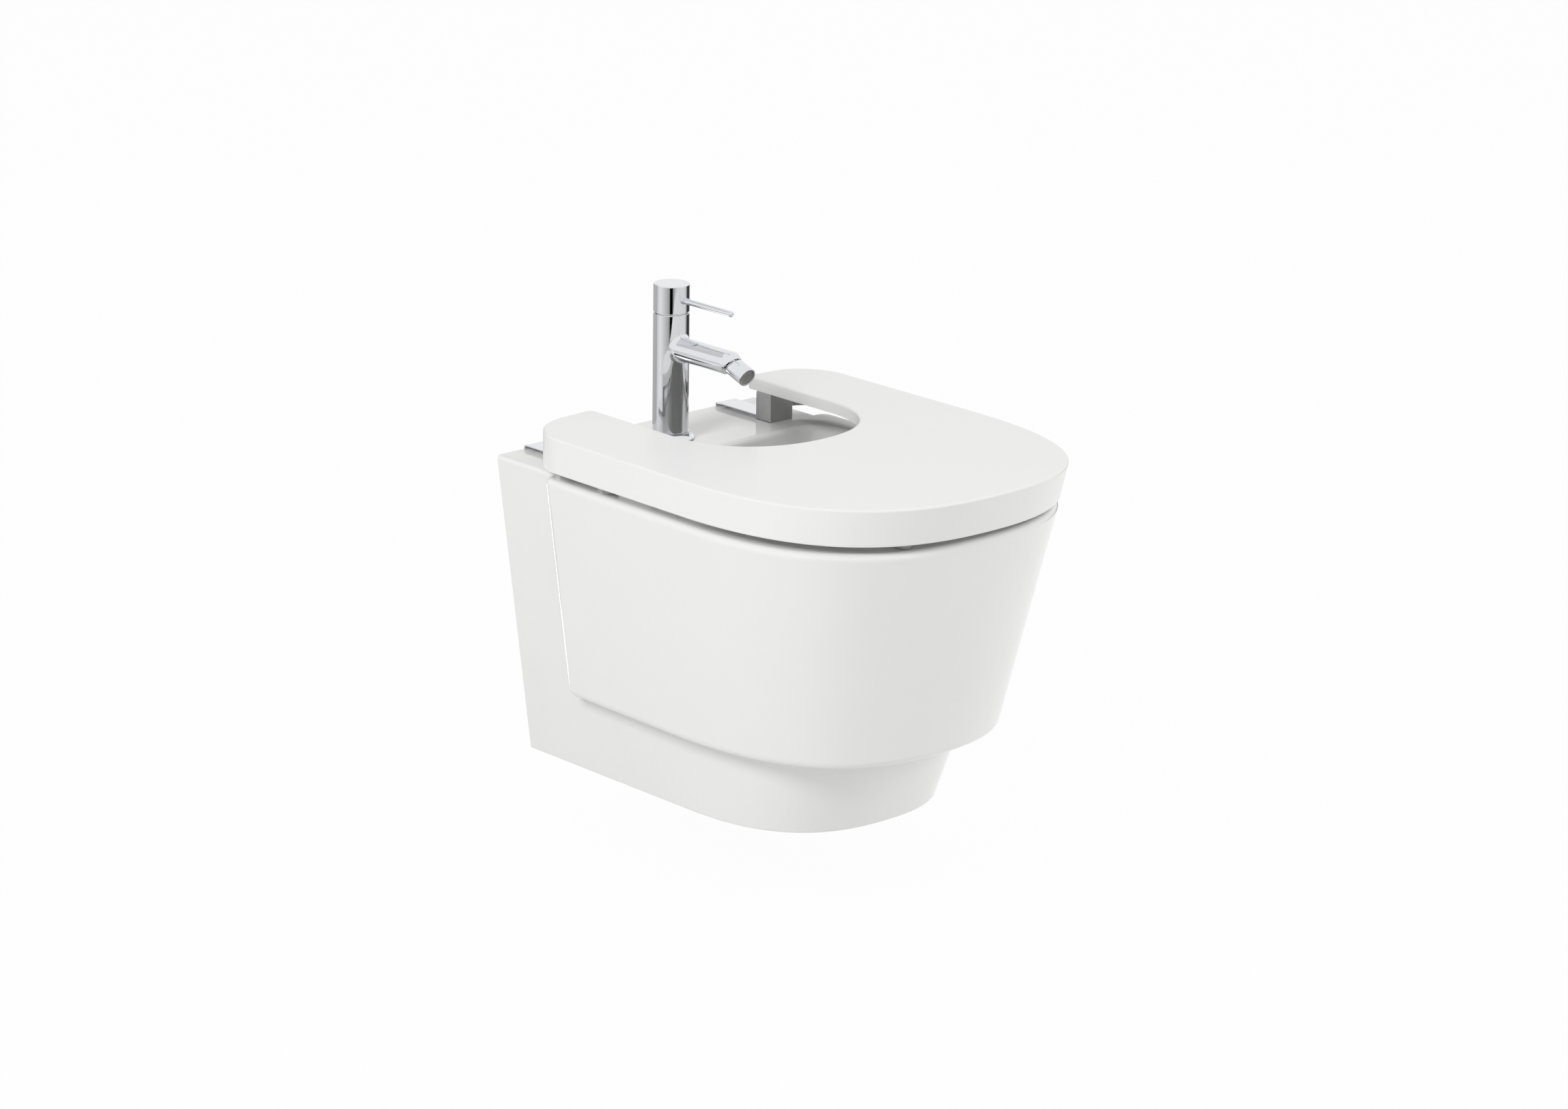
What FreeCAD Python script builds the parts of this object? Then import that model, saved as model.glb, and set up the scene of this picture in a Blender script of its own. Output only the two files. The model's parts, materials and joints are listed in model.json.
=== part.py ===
import FreeCAD, Part
import os
from collections import namedtuple
from math import cos, pi, radians, sin, sqrt
from FreeCAD import Vector

# Wall-hung bidet. Millimetres. The wall face is the plane y = 0 and the room is on its -y side.
# +x is to the right of a person who faces the wall. z = 0 is the line of the two wall bolts.
# A depth is a distance from the wall into the room, a rise is a height above the deck.

# Ceramic pan
DECK_Z = 95.0
PAN_DROP = 311.0
TIER_DROP = 226.0
CERAMIC_WALL = 11.0
DECK_THICK = 16.0
REAR_WALL = 15.0
RIM_THICK = 30.0
TIER_ROUND = 9.0
RIM_ROUND = 6.0
DECK_ROUND = 4.0
FOOT_ROUND = 2.0
BASIN_LIP_ROUND = 7.0
LEAST_CORNER = 1.0
OVERCUT = 1.0
NEAR = 0.01

# Plan outlines: rear depth, how much each side closes in behind, half width at the shoulder,
# shoulder depth, nose depth, radius of the rear corners, and how far the nose runs on straight
# from the side and from the tip, as shares of the nose's length and of the half width
SIDE_PULL = 0.95
TIP_PULL = 0.35
ROUND_PULL = 0.595
Plan = namedtuple("Plan", "rear taper half shoulder nose corner side_pull tip_pull",
                  defaults=(SIDE_PULL, TIP_PULL))
DECK_INSET = 18.9
RIM_PLAN = Plan(rear=84.0, taper=2.5, half=189.5, shoulder=315.0, nose=504.0, corner=14.0)
TIER_PLAN = Plan(rear=88.0, taper=3.0, half=161.0, shoulder=245.0, nose=454.0, corner=13.0)
DECK_PLAN = Plan(rear=0.0, taper=0.0, half=RIM_PLAN.half - DECK_INSET, shoulder=349.0, nose=486.0, corner=0.0)
FOOT_PLAN = Plan(rear=0.0, taper=0.0, half=127.5, shoulder=242.0, nose=381.5, corner=0.0)

# Basin: the plan and the drop below the deck of each level from the mouth to the floor
BASIN_WALL = 12.0
BASIN_MOUTH_PLAN = Plan(112.0, 1.0, 154.0, 315.0, 472.0, 32.0, ROUND_PULL, ROUND_PULL)
BASIN_UPPER_PLAN = Plan(122.0, 2.0, 144.0, 305.0, 452.0, 42.0, ROUND_PULL, ROUND_PULL)
BASIN_LOWER_PLAN = Plan(146.0, 3.0, 115.0, 292.0, 410.0, 52.0, ROUND_PULL, ROUND_PULL)
BASIN_FLOOR_PLAN = Plan(178.0, 4.0, 76.0, 272.0, 346.0, 48.0, ROUND_PULL, ROUND_PULL)
BASIN_UPPER_DROP = 45.0
BASIN_LOWER_DROP = 100.0
BASIN_FLOOR_DROP = 135.0
DECK_FRONT = 96.0

# Wall fixing and pipe window
WALL_BOLT_OFFSET = 90.0
WALL_BOLT_BORE_R = 6.25
SLEEVE_R = 10.0
SLEEVE_FLANGE_R = 15.0
SLEEVE_FLANGE_THICK = 4.0
SLEEVE_CLEARANCE = 0.1
WINDOW_HALF = 62.0
WINDOW_TOP = -40.0
WINDOW_BOTTOM = -170.0
WINDOW_ROUND = 20.0

# Lid
LID_OVERHANG = 0.5
LID_TOP_PLAN = Plan(rear=59.7, taper=1.2, half=RIM_PLAN.half + LID_OVERHANG, shoulder=293.0, nose=523.0,
                    corner=50.0)
LID_LEAN = 13.0
LID_GAP = 8.0
LID_EDGE_RISE = 43.6
LID_CROWN = 3.9
LID_UNDERSIDE_RISE = 34.0
LID_SKIRT = 7.0
LID_EDGE_ROUND = 2.0
LID_FOOT_ROUND = 1.5
CUTOUT_CORNER = 6.5
CUTOUT_PLAN = Plan(LID_TOP_PLAN.rear, 0.0, 101.5, 184.0, 281.0, 0.0, ROUND_PULL, ROUND_PULL)
HINGE_BAY_GAP = 6.4
BUFFER_R = 8.0
BUFFER_HEIGHT = 9.0
BUFFER_BOSS_R = 6.0
BUFFER_GAP = 0.3
BUFFER_ROUND = 1.5
BUFFER_SIDE_INSET = 19.0
BUFFER_SIDE_DEPTH = 170.0
BUFFER_FRONT_INSET = 46.0
BUFFER_FRONT_OFFSET = 80.0

# Lid hinge
PIVOT_DEPTH = 68.0
PIVOT_RISE = 26.0
HINGE_INSET = 46.4
POST_WIDTH = 29.5
POST_FRONT = 84.0
POST_NOSE_R = 6.2
POST_FRONT_ROUND = 5.0
PIN_R = 3.2
PIN_INSET = 5.0
DAMPER_R = 4.6
DAMPER_INSET = 3.0
HINGE_RUN = 0.05
HINGE_SEAT = 0.1
ARM_GAP = 0.6
ARM_THICK = 6.0
ARM_EYE_R = 8.0
ARM_FLANGE_WIDTH = 28.0
ARM_FLANGE_REAR = 82.0
ARM_FLANGE_FRONT = 112.0
ARM_FLANGE_THICK = 2.5
ARM_SCREW_R = 2.0
ARM_SCREW_HEAD_R = 4.0
ARM_SCREW_HEAD = 2.2
ARM_SCREW_BITE = 6.5
ARM_SCREW_INSET = 7.0
COVER_STEP = 5.0
COVER_RISE = 4.8
COVER_SHEET = 1.1
COVER_REAR = 1.0
COVER_BEND_R = 3.0
HINGE_STUD_DEPTH = 75.0
HINGE_STUD_R = 4.0
HINGE_STUD_BITE = 13.0
HINGE_STUD_TAIL = 24.0
HINGE_HOLE_R = 7.0
HINGE_WASHER_R = 12.0
HINGE_WASHER_THICK = 3.0
WING_HUB_R = 8.0
WING_HUB_HEIGHT = 9.0
WING_SPAN = 34.0
WING_THICK = 4.0
WING_HEIGHT = 14.0
WING_STEP = 2.0

# Tap body
TAP_DEPTH = 61.0
TAP_HOLE_R = 17.5
COLUMN_R = 17.9
GROOVE_RISE = 128.0
CAP_TOP_RISE = 157.3
BASE_RING_RISE = 8.5
BASE_RING_R = 23.7
BASE_RING_LIP = 1.6
BASE_RING_TOP_R = 18.6
BASE_RING_FLARE = 0.25
BASE_SEAL_THICK = 0.8
BASE_SEAL_R = 22.5
SPIGOT_R = 15.4
SPIGOT_CLEARANCE = 0.1
INLET_R = 4.5
INLET_LENGTH = 22.0
INLET_OFFSET = 7.0
INLET_AHEAD = 5.0
CHANNEL_R = 2.8
TAP_STUD_R = 4.0
TAP_STUD_BEHIND = 9.0
TAP_STUD_BITE = 18.0
TAP_STUD_TAIL = 34.0
CLAMP_R = 28.0
CLAMP_NOTCH_HALF = 14.0
CLAMP_NOTCH_BEHIND = 3.0
CLAMP_GASKET_THICK = 3.0
CLAMP_WASHER_THICK = 2.5
STUD_NUT_R = 7.5
STUD_NUT_HEIGHT = 8.0
THREAD_CLEARANCE = 0.1

# Spout and swivel nozzle
SPOUT_RISE = 94.0
SPOUT_R = 11.85
SPOUT_BORE_R = 3.8
BALL_DEPTH = 147.0
SOCKET_TILT = 37.0
SOCKET_FACE = 4.2
SOCKET_R = 10.3
LINER_R = 10.2
LINER_REAR = 5.0
LINER_FRONT = 0.6
BALL_R = 8.6
BALL_RUN = 0.06
BALL_BORE_R = 3.2
NECK_R = 5.0
NECK_END = 14.0
RING_START = 2.4
RING_RUN = 0.3
NOZZLE_TILT = 19.7
NOZZLE_R = 9.6
NOZZLE_END = 28.0
NOZZLE_BORE_R = 7.8
MITRE_GAP = 2.5
AERATOR_LENGTH = 11.0
MESH_THICK = 0.8
MESH_INSET = 0.8
MESH_HOLE_R = 0.75
MESH_PITCH = 2.1
MESH_ROWS = 3

# Valve and handle
LIFT_BELOW_GROOVE = 12.0
CAP_GAP = 0.7
CAP_CHAMFER = 0.8
DOME_HOLE_R = 10.0
VALVE_R = 13.1
VALVE_CLEARANCE = 0.1
VALVE_BELOW_LIFT = 17.2
VALVE_ABOVE_LIFT = 5.0
VALVE_BASE = 3.0
PORT_SEAL_THICK = 0.8
PORT_SEAL_R = 4.4
TURRET_R = 9.0
TURRET_RUN = 0.06
TURRET_BELOW = 5.6
TURRET_ABOVE = 8.0
TURRET_SLOT_HALF = 3.4
DISC_CHAMBER_R = 11.0
FIXED_DISC_R = 10.9
FIXED_DISC_THICK = 4.0
DISC_GAP = 0.06
MOVING_DISC_R = 8.2
MOVING_DISC_THICK = 4.2
DISC_SLOT_HALF = 1.75
DISC_SLOT_DEPTH = 3.5
STEM_R = 3.0
STEM_BELOW = 4.0
STEM_HEAD_R = 4.0
STEM_HEAD_START = 23.0
STEM_TOP = 36.0
STEM_TIP_BELOW = 7.2
STEM_TIP_R = 1.6
STEM_SHANK_R = 1.2
STEM_PIN_R = 1.5
LEVER_RISE = 143.0
LEVER_R = 3.0
LEVER_TIP_DEPTH = 149.8
LEVER_ROOT = 10.0
LEVER_COLLAR_R = 3.8
LEVER_COLLAR = 1.2
LEVER_ROUND = 1.2
GRUB_R = 2.0
GRUB_LENGTH = 9.0

# Waste
WASTE_DEPTH = 236.0
WASTE_HOLE_R = 23.0
FLANGE_R = 32.0
FLANGE_THICK = 3.5
FLANGE_SEAL_THICK = 2.0
FLANGE_SEAL_R = 30.0
TAIL_R = 20.955
TAIL_BORE_R = 18.0
TAIL_LENGTH = 78.0
TAIL_RELIEF = 1.0
TAIL_RELIEF_WIDTH = 2.0
TAIL_RELIEF_BELOW_NUT = 2.0
LOWER_SEAL_R = 33.0
LOWER_SEAL_THICK = 6.0
BACK_NUT_R = 31.0
BACK_NUT_HEIGHT = 12.0
SPIDER_DROP = 34.0
SPIDER_HEIGHT = 7.0
SPIDER_RIM = 2.2
SPIDER_HUB_R = 7.0
SPIDER_SPOKES = 3
SPIDER_SPOKE = 3.0
PLUG_R = 25.0
PLUG_THICK = 3.0
PLUG_DOME = 3.5
PLUG_GAP = 0.4
PLUG_SEAL_R = 17.0
PLUG_SEAL_THICK = 3.0
PLUG_STEM_R = 4.0
PLUG_STEM_TAIL = 14.0
PLUG_RUN = 0.06

UP = Vector(0, 0, 1)
ACROSS = Vector(1, 0, 0)
ROOMWARD = Vector(0, -1, 0)


def at(x, depth, rise):
    """Point at a distance from the middle, a depth from the wall and a rise above the deck."""
    return Vector(x, -depth, DECK_Z + rise)


def cylinder(radius, start, direction, length):
    return Part.makeCylinder(radius, length, start, direction)


def tube(outer, inner, start, direction, length):
    return cylinder(outer, start, direction, length).cut(cylinder(inner, start, direction, length))


def block(x_low, x_high, depth_low, depth_high, rise_low, rise_high):
    corner = at(x_low, depth_high, rise_low)
    return Part.makeBox(x_high - x_low, depth_high - depth_low, rise_high - rise_low, corner)


def extrusion(points_and_arcs, sweep):
    """Solid from a closed outline of edges, carried along a vector."""
    return Part.Face(Part.Wire(points_and_arcs)).extrude(sweep)


def line(start, end):
    return Part.LineSegment(start, end).toShape()


def arc(start, middle, end):
    return Part.Arc(start, middle, end).toShape()


def mirrored_pair(shape):
    return Part.makeCompound([shape, shape.mirror(Vector(0, 0, 0), ACROSS)])


def edges_at(shape, z):
    """Edges that lie whole in the level z."""
    return [e for e in shape.Edges if abs(e.BoundBox.ZMin - z) < NEAR and abs(e.BoundBox.ZMax - z) < NEAR]


def free_edges_at(shape, z):
    """Edges in the level z, apart from the one at the wall."""
    return [e for e in edges_at(shape, z) if e.BoundBox.YMin < -NEAR]


def hexagon(radius, base, height):
    corners = [base + Vector(radius * cos(k * pi / 3), radius * sin(k * pi / 3), 0) for k in range(7)]
    return Part.Face(Part.makePolygon(corners)).extrude(Vector(0, 0, height))


# Plan outlines

def grown(plan, by):
    """The plan moved outwards by a wall thickness, or inwards where it is negative."""
    corner = max(plan.corner + by, LEAST_CORNER) if plan.corner else 0.0
    return plan._replace(rear=plan.rear - by, half=plan.half + by, nose=plan.nose + by, corner=corner)


def nose_edges(plan, rise, lead):
    """Two cubic curves from the right shoulder round the nose to the left shoulder."""
    handle = plan.side_pull * (plan.nose - plan.shoulder)
    flare = -handle * lead.x / lead.y
    tip = at(0, plan.nose, rise)
    edges = []
    for side in (1, -1):
        poles = [
            at(side * plan.half, plan.shoulder, rise),
            at(side * (plan.half + flare), plan.shoulder + handle, rise),
            at(side * plan.tip_pull * plan.half, plan.nose, rise),
            tip,
        ]
        curve = Part.BezierCurve()
        curve.setPoles(poles if side > 0 else poles[::-1])
        edges.append(curve.toShape())
    return edges


def outline(plan, rise):
    """Closed outline: straight rear edge, rear corners, sides and a rounded nose."""
    rear, half, corner = plan.rear, plan.half - plan.taper, plan.corner
    side_start = at(half, rear + corner, rise)
    side_end = at(plan.half, plan.shoulder, rise)
    left_start = at(-plan.half, plan.shoulder, rise)
    left_end = at(-half, rear + corner, rise)
    lead = side_end - side_start
    lead.normalize()
    edges = [line(at(-half + corner, rear, rise), at(half - corner, rear, rise))]
    if corner:
        bulge = corner * (1 - sqrt(0.5))
        edges.append(arc(at(half - corner, rear, rise), at(half - bulge, rear + bulge, rise), side_start))
    edges.append(line(side_start, side_end))
    edges += nose_edges(plan, rise, lead)
    edges.append(line(left_start, left_end))
    if corner:
        edges.append(arc(left_end, at(-half + bulge, rear + bulge, rise), at(-half + corner, rear, rise)))
    return Part.Wire(edges)


def tapered(low_plan, low_rise, high_plan, high_rise):
    return Part.makeLoft([outline(low_plan, low_rise), outline(high_plan, high_rise)], True, True)


def between(low, high, share):
    """The plan at a share of the way from one plan up to another."""
    return Plan(*[a + (b - a) * share for a, b in zip(low, high)])


# Ceramic pan

BASIN_LEVELS = (
    (0.0, BASIN_MOUTH_PLAN),
    (BASIN_UPPER_DROP, BASIN_UPPER_PLAN),
    (BASIN_LOWER_DROP, BASIN_LOWER_PLAN),
    (BASIN_FLOOR_DROP, BASIN_FLOOR_PLAN),
)
BASIN_FLOOR_RISE = -BASIN_FLOOR_DROP
BASIN_UNDERSIDE_RISE = BASIN_FLOOR_RISE - BASIN_WALL


def basin_form(wall):
    """Smooth bowl through the basin levels, grown by a wall and as much deeper."""
    levels = []
    for drop, plan in BASIN_LEVELS:
        deeper = wall * drop / BASIN_FLOOR_DROP
        levels.append(outline(grown(plan, wall), -drop - deeper))
    return Part.makeLoft(levels, True, False)


def pan_outside():
    tier = tapered(TIER_PLAN, -TIER_DROP, RIM_PLAN, 0.0)
    tier = tier.makeFillet(TIER_ROUND, edges_at(tier, DECK_Z - TIER_DROP))
    tier = tier.makeFillet(RIM_ROUND, edges_at(tier, DECK_Z))
    foot, deck = FOOT_PLAN._replace(rear=-OVERCUT), DECK_PLAN._replace(rear=-OVERCUT)
    support = tapered(foot, -PAN_DROP, deck, 0.0)
    support = support.makeFillet(DECK_ROUND, free_edges_at(support, DECK_Z))
    support = support.makeFillet(FOOT_ROUND, free_edges_at(support, DECK_Z - PAN_DROP))
    width = DECK_PLAN.half + OVERCUT
    behind_wall = block(-width, width, -2 * OVERCUT, 0.0, -PAN_DROP - OVERCUT, OVERCUT)
    return support.cut(behind_wall).fuse(tier).removeSplitter()


def pan_hollow():
    """The open space under the deck and round the basin."""
    top_share = 1 - DECK_THICK / PAN_DROP
    support_top = between(FOOT_PLAN, DECK_PLAN, top_share)
    low = grown(FOOT_PLAN, -CERAMIC_WALL)._replace(rear=REAR_WALL)
    high = grown(support_top, -CERAMIC_WALL)._replace(rear=REAR_WALL)
    support = tapered(low, -PAN_DROP - OVERCUT, high, -DECK_THICK)
    low_share = CERAMIC_WALL / TIER_DROP
    high_share = 1 - RIM_THICK / TIER_DROP
    tier_low = grown(between(TIER_PLAN, RIM_PLAN, low_share), -CERAMIC_WALL)
    tier_high = grown(between(TIER_PLAN, RIM_PLAN, high_share), -CERAMIC_WALL)
    tier = tapered(tier_low, -TIER_DROP + CERAMIC_WALL, tier_high, -RIM_THICK)
    return support.fuse(tier).cut(basin_form(BASIN_WALL))


def pipe_window():
    """Rounded window in the rear wall for the water and waste pipes."""
    height = WINDOW_TOP - WINDOW_BOTTOM
    through = REAR_WALL + 2 * OVERCUT
    base = Vector(-WINDOW_HALF, -REAR_WALL - OVERCUT, WINDOW_BOTTOM)
    window = Part.makeBox(2 * WINDOW_HALF, through, height, base)
    level = [e for e in window.Edges if abs(e.BoundBox.YLength - through) < NEAR]
    return window.makeFillet(WINDOW_ROUND, level)


def ceramic_pan():
    pan = pan_outside().cut(pan_hollow()).cut(basin_form(0.0)).cut(pipe_window())
    lip = [e for e in edges_at(pan, DECK_Z) if basin_edge(e)]
    pan = pan.makeFillet(BASIN_LIP_ROUND, lip)
    for side in (-1, 1):
        bolt = Vector(side * WALL_BOLT_OFFSET, OVERCUT, 0)
        pan = pan.cut(cylinder(SLEEVE_R + SLEEVE_CLEARANCE, bolt, ROOMWARD, REAR_WALL + 2 * OVERCUT))
        stud = at(side * (POST_INNER + POST_OUTER) / 2, HINGE_STUD_DEPTH, OVERCUT)
        pan = pan.cut(cylinder(HINGE_HOLE_R, stud, -UP, DECK_THICK + 2 * OVERCUT))
    pan = pan.cut(cylinder(TAP_HOLE_R, at(0, TAP_DEPTH, OVERCUT), -UP, DECK_THICK + 2 * OVERCUT))
    waste = at(0, WASTE_DEPTH, BASIN_FLOOR_RISE + OVERCUT)
    return pan.cut(cylinder(WASTE_HOLE_R, waste, -UP, BASIN_WALL + 2 * OVERCUT))


def pan_regions():
    """The casting in regions that meet face to face: deck, rim, back wall, bowl and skirt."""
    pan = ceramic_pan()
    width, nose = RIM_PLAN.half + OVERCUT, RIM_PLAN.nose + OVERCUT
    bottom = -PAN_DROP - OVERCUT
    deck_space = block(-width, width, -OVERCUT, DECK_FRONT, -DECK_THICK, OVERCUT)
    rim_space = block(-width, width, DECK_FRONT, nose, -RIM_THICK, OVERCUT)
    back_space = block(-width, width, -OVERCUT, REAR_WALL, bottom, -DECK_THICK)
    below = pan.cut(deck_space).cut(rim_space).cut(back_space)
    bowl_space = basin_form(BASIN_WALL)
    return {
        "pan_deck": pan.common(deck_space),
        "pan_rim": pan.common(rim_space),
        "pan_back_wall": pan.common(back_space),
        "pan_bowl": below.common(bowl_space),
        "pan_skirt": below.cut(bowl_space),
    }


def basin_edge(edge):
    """True for an edge of the basin's mouth."""
    mouth = BASIN_MOUTH_PLAN
    box = edge.BoundBox
    across = max(abs(box.XMin), abs(box.XMax)) < mouth.half + OVERCUT
    return across and box.YMax < -mouth.rear + OVERCUT and box.YMin > -mouth.nose - OVERCUT


def wall_bolt_sleeves():
    length = REAR_WALL
    start = Vector(WALL_BOLT_OFFSET, 0, 0)
    sleeve = cylinder(SLEEVE_R, start, ROOMWARD, length)
    flange_start = start + ROOMWARD * length
    sleeve = sleeve.fuse(cylinder(SLEEVE_FLANGE_R, flange_start, ROOMWARD, SLEEVE_FLANGE_THICK))
    bore = cylinder(WALL_BOLT_BORE_R, start, ROOMWARD, length + SLEEVE_FLANGE_THICK)
    return mirrored_pair(sleeve.cut(bore).removeSplitter())


# Lid

LID_BOTTOM_PLAN = LID_TOP_PLAN._replace(nose=LID_TOP_PLAN.nose - LID_LEAN)
POST_OUTER = LID_TOP_PLAN.half - LID_TOP_PLAN.taper - HINGE_INSET
POST_INNER = POST_OUTER - POST_WIDTH
ARM_INNER = POST_OUTER + ARM_GAP
ARM_OUTER = ARM_INNER + ARM_THICK


def lid_outside():
    """Leaning block with a crowned top, the slot for the tap and rounded edges."""
    body = tapered(LID_BOTTOM_PLAN, LID_GAP, LID_TOP_PLAN, LID_EDGE_RISE + LID_CROWN)
    half = LID_TOP_PLAN.half
    crown_r = (half ** 2 + LID_CROWN ** 2) / (2 * LID_CROWN)
    axis = at(0, 0, LID_EDGE_RISE + LID_CROWN - crown_r)
    body = body.common(cylinder(crown_r, axis, ROOMWARD, LID_TOP_PLAN.nose + LID_SKIRT)).cut(cutout())
    body = body.makeFillet(CUTOUT_CORNER, [e for e in body.Edges if slot_corner(e)])
    body = body.makeFillet(LID_FOOT_ROUND, edges_at(body, DECK_Z + LID_GAP))
    return body.makeFillet(LID_EDGE_ROUND, upper_edges(body))


def upper_edges(body):
    """Edges on the lid's top."""
    return [e for e in body.Edges if e.BoundBox.ZMin > DECK_Z + LID_EDGE_RISE - OVERCUT]


def slot_corner(edge):
    """True for an upright edge where the slot meets the lid's rear."""
    box = edge.BoundBox
    across = abs(max(abs(box.XMin), abs(box.XMax)) - CUTOUT_PLAN.half) < NEAR
    return across and abs(box.YMin + CUTOUT_PLAN.rear) < NEAR and box.ZLength > OVERCUT


def cutout():
    """Slot for the tap, open to the rear and rounded in front."""
    low, high = LID_GAP - OVERCUT, LID_EDGE_RISE + LID_CROWN + OVERCUT
    slot = outline(CUTOUT_PLAN._replace(rear=CUTOUT_PLAN.rear - OVERCUT), low)
    return Part.Face(slot).extrude(UP * (high - low))


def lid_shell():
    under = grown(LID_BOTTOM_PLAN, -LID_SKIRT)
    share = (LID_UNDERSIDE_RISE - LID_GAP) / (LID_EDGE_RISE + LID_CROWN - LID_GAP)
    upper = grown(between(LID_BOTTOM_PLAN, LID_TOP_PLAN, share), -LID_SKIRT)
    hollow = tapered(under, LID_GAP, upper, LID_UNDERSIDE_RISE)
    bay_half = ARM_OUTER + HINGE_BAY_GAP
    bay = block(-bay_half, bay_half, LID_TOP_PLAN.rear - OVERCUT, ARM_FLANGE_REAR,
                LID_GAP - OVERCUT, LID_UNDERSIDE_RISE)
    shell = lid_outside().cut(hollow).cut(bay)
    for x, depth in buffer_places():
        boss = at(x, depth, BUFFER_HEIGHT + BUFFER_GAP)
        height = LID_UNDERSIDE_RISE - BUFFER_HEIGHT - BUFFER_GAP + OVERCUT
        shell = shell.fuse(cylinder(BUFFER_BOSS_R, boss, UP, height))
    for screw in arm_screw_places():
        hole = cylinder(ARM_SCREW_R, screw, UP, ARM_SCREW_BITE)
        shell = shell.cut(hole).cut(hole.mirror(Vector(0, 0, 0), ACROSS))
    return shell.removeSplitter()


def buffer_places():
    side_pad = (LID_TOP_PLAN.half - BUFFER_SIDE_INSET, BUFFER_SIDE_DEPTH)
    front_pad = (BUFFER_FRONT_OFFSET, LID_TOP_PLAN.nose - BUFFER_FRONT_INSET)
    return [(side * x, depth) for x, depth in (side_pad, front_pad) for side in (-1, 1)]


def lid_buffers():
    pads = []
    for x, depth in buffer_places():
        pad = cylinder(BUFFER_R, at(x, depth, BUFFER_GAP), UP, BUFFER_HEIGHT)
        pads.append(pad.makeFillet(BUFFER_ROUND, edges_at(pad, DECK_Z + BUFFER_GAP)))
    return Part.makeCompound(pads)


# Lid hinge

PIVOT = at(0, PIVOT_DEPTH, PIVOT_RISE)
PIN_START = POST_INNER + PIN_INSET
DAMPER_START = POST_INNER + DAMPER_INSET
COVER_OUTER = POST_OUTER - COVER_STEP


def arm_screw_places():
    """Seats of the right arm's screws on the lid's underside."""
    x = (ARM_OUTER + ARM_INNER + ARM_FLANGE_WIDTH) / 2
    depths = (ARM_FLANGE_REAR + ARM_SCREW_INSET, ARM_FLANGE_FRONT - ARM_SCREW_INSET)
    return [at(x, depth, LID_UNDERSIDE_RISE) for depth in depths]


def hinge_post():
    """Block with a nose round the pivot, so that the lid's underside clears it as it swings."""
    rear, nose_top = PIVOT_DEPTH - POST_NOSE_R, PIVOT_RISE + POST_NOSE_R
    x, slant = POST_INNER, sqrt(0.5)
    bend = POST_FRONT_ROUND * (1 - slant)
    edges = [
        line(at(x, rear, 0), at(x, rear, PIVOT_RISE)),
        arc(at(x, rear, PIVOT_RISE),
            at(x, PIVOT_DEPTH - POST_NOSE_R * slant, PIVOT_RISE + POST_NOSE_R * slant),
            at(x, PIVOT_DEPTH, nose_top)),
        line(at(x, PIVOT_DEPTH, nose_top), at(x, POST_FRONT - POST_FRONT_ROUND, nose_top)),
        arc(at(x, POST_FRONT - POST_FRONT_ROUND, nose_top),
            at(x, POST_FRONT - bend, nose_top - bend),
            at(x, POST_FRONT, nose_top - POST_FRONT_ROUND)),
        line(at(x, POST_FRONT, nose_top - POST_FRONT_ROUND), at(x, POST_FRONT, 0)),
        line(at(x, POST_FRONT, 0), at(x, rear, 0)),
    ]
    post = extrusion(edges, ACROSS * (POST_OUTER - POST_INNER))
    bore_start = PIVOT + ACROSS * DAMPER_START
    post = post.cut(cylinder(DAMPER_R + HINGE_SEAT, bore_start, ACROSS, POST_OUTER - DAMPER_START))
    stud = at((POST_INNER + POST_OUTER) / 2, HINGE_STUD_DEPTH, 0)
    return post.cut(cylinder(HINGE_STUD_R + THREAD_CLEARANCE, stud, UP, HINGE_STUD_BITE))


def hinge_cover():
    """Bent sheet from the rear of the deck to the post, with a lip down to the deck."""
    x, slant = POST_INNER, sqrt(0.5)
    outer, inner = COVER_BEND_R, COVER_BEND_R - COVER_SHEET
    centre_depth, centre_rise = COVER_REAR + outer, COVER_RISE - outer
    front = PIVOT_DEPTH - POST_NOSE_R
    edges = [
        line(at(x, COVER_REAR, 0), at(x, COVER_REAR, centre_rise)),
        arc(at(x, COVER_REAR, centre_rise),
            at(x, centre_depth - outer * slant, centre_rise + outer * slant),
            at(x, centre_depth, COVER_RISE)),
        line(at(x, centre_depth, COVER_RISE), at(x, front, COVER_RISE)),
        line(at(x, front, COVER_RISE), at(x, front, COVER_RISE - COVER_SHEET)),
        line(at(x, front, COVER_RISE - COVER_SHEET), at(x, centre_depth, COVER_RISE - COVER_SHEET)),
        arc(at(x, centre_depth, COVER_RISE - COVER_SHEET),
            at(x, centre_depth - inner * slant, centre_rise + inner * slant),
            at(x, COVER_REAR + COVER_SHEET, centre_rise)),
        line(at(x, COVER_REAR + COVER_SHEET, centre_rise), at(x, COVER_REAR + COVER_SHEET, 0)),
        line(at(x, COVER_REAR + COVER_SHEET, 0), at(x, COVER_REAR, 0)),
    ]
    return extrusion(edges, ACROSS * (COVER_OUTER - POST_INNER))


def hinge_damper():
    start = PIVOT + ACROSS * DAMPER_START
    return tube(DAMPER_R, PIN_R + HINGE_RUN, start, ACROSS, POST_OUTER - DAMPER_START)


def hinge_pin():
    return cylinder(PIN_R, PIVOT + ACROSS * PIN_START, ACROSS, ARM_OUTER - PIN_START)


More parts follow.
